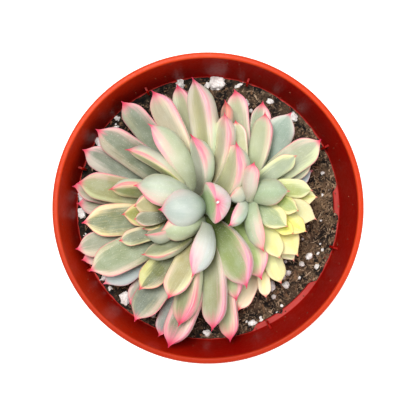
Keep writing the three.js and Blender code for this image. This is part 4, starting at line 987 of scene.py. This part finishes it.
def lumps(name, items, mat, rough=0.3, sub=2, slot="potting_mix", node="potting_mix"):
    """items: (x, y, z, rx, ry, rz, turn) in mm; one joined mesh of rough closed stones."""
    bm = bmesh.new()
    for i, (x, y, z, rx, ry, rz, turn) in enumerate(items):
        part = bmesh.new()
        bmesh.ops.create_icosphere(part, subdivisions=sub, radius=1.0)
        off = Vector((i * 3.7, i * 1.3, 0))
        for v in part.verts:
            k = 1 + rough * noise.fractal(v.co * 1.3 + off, 0.8, 2.0, 3)
            v.co *= k
        rot = Matrix.Rotation(turn, 3, "Z") @ Matrix.Rotation(0.5 * math.sin(i * 2.1), 3, "X")
        for v in part.verts:
            c = rot @ Vector((v.co.x * rx, v.co.y * ry, v.co.z * rz))
            v.co = (c + Vector((x, y, z))) * MM
        tmp = bpy.data.meshes.new("tmp")
        part.to_mesh(tmp)
        part.free()
        bm.from_mesh(tmp)
        bpy.data.meshes.remove(tmp)
    me = bpy.data.meshes.new(name)
    bm.to_mesh(me)
    bm.free()
    me.polygons.foreach_set("use_smooth", [True] * len(me.polygons))
    if hasattr(me, "set_sharp_from_angle"):
        me.set_sharp_from_angle(angle=math.radians(38))
    me.materials.append(mat)
    ob = bpy.data.objects.new(name, me)
    scene.collection.objects.link(ob)
    return piece(ob, slot, node)


PERLITES = [(-10.0, 45.5, 1.65, 1.65, 0.0), (-6.7, 46.3, 0.73, 0.73, 0.37), (3.5, 45.7, 2.94, 2.57, 0.24), (-0.1, 45.2, 1.1, 1.1, 0.11), (11.5, 45.1, 1.84, 0.73, 0.48), (23.1, 39.6, 1.84, 1.1, 0.35), (24.7, 39.9, 1.1, 0.55, 0.22), (13.5, 38.2, 1.47, 1.47, 0.09), (15.7, 35.6, 0.73, 0.73, 0.46), (31.5, 33.4, 1.47, 1.84, 0.33), (-33.4, 33.0, 1.1, 1.1, 0.2), (-31.3, 35.3, 0.73, 0.73, 0.07), (-39.6, 23.9, 1.47, 2.2, 0.44), (-33.8, 29.4, 1.1, 0.73, 0.31), (-46.1, 4.0, 1.84, 2.2, 0.18), (-46.3, -1.8, 1.47, 1.84, 0.05), (-45.2, -9.9, 0.73, 0.73, 0.42), (-37.9, -25.7, 1.84, 1.1, 0.29), (-36.0, -29.4, 1.1, 1.1, 0.16), (-30.5, -33.0, 1.84, 2.57, 0.03), (-20.3, -39.3, 1.1, 1.1, 0.4), (-19.2, -42.6, 0.73, 0.73, 0.27), (-27.2, -38.2, 0.73, 0.73, 0.14), (-0.4, -45.9, 1.47, 1.47, 0.01), (-5.2, -46.3, 0.55, 0.55, 0.38), (5.8, -46.6, 1.1, 0.73, 0.25), (11.1, -45.8, 0.73, 0.37, 0.12), (16.4, -42.6, 1.47, 1.47, 0.49), (12.4, -44.8, 0.55, 0.55, 0.36), (19.4, -40.4, 0.55, 0.55, 0.23), (19.7, -41.5, 0.73, 0.73, 0.1), (25.6, -38.9, 0.73, 0.73, 0.47), (27.1, -36.0, 0.55, 0.55, 0.34), (24.2, -32.7, 0.92, 0.73, 0.21), (22.0, -33.4, 0.55, 0.55, 0.08), (28.6, -28.3, 1.28, 1.28, 0.45), (27.5, -25.3, 0.92, 0.92, 0.32), (29.3, -23.9, 1.1, 1.1, 0.19), (23.1, -28.3, 1.47, 2.2, 0.06), (33.7, -25.7, 0.55, 0.55, 0.43), (40.3, -21.7, 1.1, 1.1, 0.3), (34.4, -20.6, 0.92, 0.92, 0.17), (37.0, -18.0, 1.84, 1.1, 0.6), (28.6, -19.8, 0.55, 0.55, 0.41), (42.1, -15.4, 0.55, 0.55, 0.28), (40.7, -16.5, 0.37, 0.37, 0.15), (41.4, -13.2, 0.37, 0.37, 0.02), (34.8, -11.4, 0.44, 0.44, 0.39), (42.1, 4.8, 0.55, 0.55, 0.26), (42.1, 12.8, 0.66, 0.66, 0.13), (16.8, -31.6, 0.55, 0.55, 0.0), (14.2, -41.8, 0.37, 0.37, 0.37)]
items = []
for x, y, rx, ry, turn in PERLITES:
    z = soil_z(x, y) + 0.35 * min(rx, ry)
    items.append((x, y, z, rx, ry, 0.8 * min(rx, ry), turn))
for _ in range(90):
    t, r = rng.uniform(0, 2 * math.pi), 46.8 * math.sqrt(rng.random())
    x, y = r * math.cos(t), r * math.sin(t)
    a = rng.uniform(0.18, 0.5)
    items.append((x, y, soil_z(x, y) + 0.1, a * rng.uniform(0.8, 1.3), a, a * 0.8, rng.uniform(0, 3)))
lumps("mix_perlite", items, PERLITE, 0.42, 3)
# a grain of perlite on the mucro of the leaf that closes the larger head
lumps("leaf_grain", [(3.25, 1.9, 101.95, 0.55, 0.36, 0.30, 0.5)], PERLITE, 0.40, 3, "leaf_inner", "leaf_inner_04")

items = []
for _ in range(900):
    t, r = rng.uniform(0, 2 * math.pi), 46.6 * math.sqrt(rng.random())
    x, y = r * math.cos(t), r * math.sin(t)
    a = rng.uniform(0.25, 1.0) ** 1.4 * 1.15
    items.append(
        (x, y, soil_z(x, y) + 0.15, a * rng.uniform(0.8, 2.1), a * rng.uniform(0.4, 0.8), a * 0.45, rng.uniform(0, 3.1))
    )
lumps("mix_bark", items, BARK, 0.55, 2)

items = []
for _ in range(620):
    t, r = rng.uniform(0, 2 * math.pi), 46.0 * math.sqrt(rng.random())
    x, y = r * math.cos(t), r * math.sin(t)
    a = rng.uniform(0.3, 0.8)
    items.append(
        (x, y, soil_z(x, y) + 0.2, a * rng.uniform(1.3, 2.6), a * rng.uniform(0.22, 0.42), a * 0.3, rng.uniform(0, 3.1))
    )
lumps("mix_slivers", items, SLIVER, 0.3, 1)


def strands(name, rows, mat):
    """rows: (points in mm, radius in mm); one joined mesh of thin closed strands."""
    verts, faces = [], []
    for pts, r in rows:
        pts = np.array(pts, float)
        n = 6
        base = len(verts)
        m = len(pts)
        for i in range(m):
            d = pts[min(i + 1, m - 1)] - pts[max(i - 1, 0)]
            d /= np.linalg.norm(d) + 1e-9
            a = np.cross(d, [0, 0, 1.0])
            a = a / np.linalg.norm(a) if np.linalg.norm(a) > 1e-6 else np.array([1.0, 0, 0])
            b = np.cross(d, a)
            rr = r * (1 - 0.55 * abs(2 * i / (m - 1) - 1) ** 2)
            for k in range(n):
                t = 2 * math.pi * k / n
                verts.append((pts[i] + (a * math.cos(t) + b * math.sin(t)) * rr) * MM)
        for i in range(m - 1):
            for k in range(n):
                k2 = (k + 1) % n
                faces.append((base + i * n + k, base + i * n + k2, base + (i + 1) * n + k2, base + (i + 1) * n + k))
        faces.append(tuple(base + k for k in reversed(range(n))))
        faces.append(tuple(base + (m - 1) * n + k for k in range(n)))
    ob = mesh_object(name, verts, faces, mat)
    bm = bmesh.new()
    bm.from_mesh(ob.data)
    bmesh.ops.recalc_face_normals(bm, faces=bm.faces)
    bm.to_mesh(ob.data)
    bm.free()
    return piece(ob, "potting_mix", "potting_mix")


rows = []


def strand(x, y, ang, length, r, bend, lift=0.35):
    pts = []
    m = 9
    a = ang
    px, py = x, y
    for i in range(m):
        rr = math.hypot(px, py)
        if rr > 45.9:
            px, py = px * 45.9 / rr, py * 45.9 / rr
        pts.append((px, py, soil_z(px, py) + lift * (0.5 + math.sin(math.pi * i / (m - 1)))))
        a += bend / m
        px += math.cos(a) * length / (m - 1)
        py += math.sin(a) * length / (m - 1)
    rows.append((pts, r))


for _ in range(420):
    t, r = rng.uniform(0, 2 * math.pi), 45 * math.sqrt(rng.random())
    strand(
        r * math.cos(t), r * math.sin(t), rng.uniform(0, 6.28), rng.uniform(0.9, 3.4),
        rng.uniform(0.06, 0.16), rng.uniform(-0.7, 0.7), 0.3,
    )
# a tangle of coir on the right
for _ in range(240):
    x, y = rng.normal(40.0, 2.4), rng.normal(-1.0, 4.6)
    strand(x, y, rng.uniform(0.2, 2.9), rng.uniform(1.2, 4.2), rng.uniform(0.06, 0.15), rng.uniform(-0.9, 0.9), 0.5)
for _ in range(70):
    x, y = rng.normal(34.0, 2.6), rng.normal(-16.0, 2.6)
    strand(x, y, rng.uniform(-0.6, 1.4), rng.uniform(1.0, 3.4), rng.uniform(0.06, 0.14), rng.uniform(-0.9, 0.9), 0.4)
strand(38.2, 7.1, 0.2, 5.2, 0.32, 0.1, 0.5)
strand(41.2, 18.8, 0.1, 2.6, 0.14, 1.4, 0.4)
strands("mix_fibres", rows, FIBRE)

# crumbs of mix stuck to the inner wall
items = []
for _ in range(80):
    t = rng.uniform(0, 2 * math.pi)
    z = 66.4 + 19 * rng.random() ** 1.7
    r = 48.2 + (z - 66.0) / 20 * 3.7 - 0.02
    a = rng.uniform(0.07, 0.20)
    items.append((r * math.cos(t), r * math.sin(t), z, a, a * 1.3, a, t))
for _ in range(30):
    t = rng.uniform(-1.4, 0.9)
    z = 66.2 + 15 * rng.random() ** 2
    r = 48.2 + (z - 66.0) / 20 * 3.7 - 0.02
    a = rng.uniform(0.08, 0.26)
    items.append((r * math.cos(t), r * math.sin(t), z, a, a * 1.4, a, t))
for _ in range(70):
    t = rng.uniform(0, 2 * math.pi)
    a = rng.uniform(0.12, 0.4)
    r = rng.uniform(46.4, 48.0)
    items.append((r * math.cos(t), r * math.sin(t), 66.1, a, a * 1.3, a, t))
lumps("mix_wall_crumbs", items, CRUMB, 0.5, 1)

# ------------------------------------------------------------------ floor, light, camera
fm = Tree("floor")
fn = fm.noise(fm.coords(), 9.0, 3.0)
fm.put(fm.bsdf.inputs["Base Color"], fm.mix(fn, srgb(250, 250, 250), srgb(254, 254, 254)))
fm.set(Roughness=0.9)
fm.bsdf.inputs["Emission Color"].default_value = (1, 1, 1, 1)
fm.bsdf.inputs["Emission Strength"].default_value = 0.6
S = 3.0
floor = mesh_object(
    "floor", [(-S, -S, -0.0005), (S, -S, -0.0005), (S, S, -0.0005), (-S, S, -0.0005)], [(0, 1, 2, 3)], fm.mat
)

world = bpy.data.worlds.new("studio")
scene.world = world
world.use_nodes = True
bg = world.node_tree.nodes["Background"]
bg.inputs[0].default_value = (0.98, 0.99, 1.0, 1)
bg.inputs[1].default_value = 0.26


def area(name, loc, target, size, power, color=(1, 1, 1)):
    ld = bpy.data.lights.new(name, "AREA")
    ld.shape = "SQUARE"
    ld.size = size
    ld.energy = power
    ld.color = color
    lo = bpy.data.objects.new(name, ld)
    lo.location = loc
    lo.rotation_euler = (Vector(target) - Vector(loc)).to_track_quat("-Z", "Y").to_euler()
    scene.collection.objects.link(lo)
    return lo


area("key", (-0.14, 0.22, 1.0), (0, 0, 0.08), 0.36, 10.5, (1.0, 0.99, 0.97))
area("fill", (0.55, -0.30, 0.8), (0, 0, 0.08), 0.7, 3.0, (0.97, 0.98, 1.0))
area("low", (0.0, -0.9, 0.25), (0, 0, 0.06), 0.6, 1.6, (1, 1, 1))

cam = bpy.data.cameras.new("camera")
cam.sensor_width = 36.0
cam.lens = 80.15
cam.clip_start = 0.01
co = bpy.data.objects.new("camera", cam)
co.location = (0, 0, (H + 320) * MM)
co.rotation_euler = (0, 0, 0)
scene.collection.objects.link(co)
scene.camera = co
scene.view_settings.view_transform = "Standard"
scene.view_settings.look = "None"
scene.view_settings.exposure = 0.0
scene.view_settings.gamma = 1.0
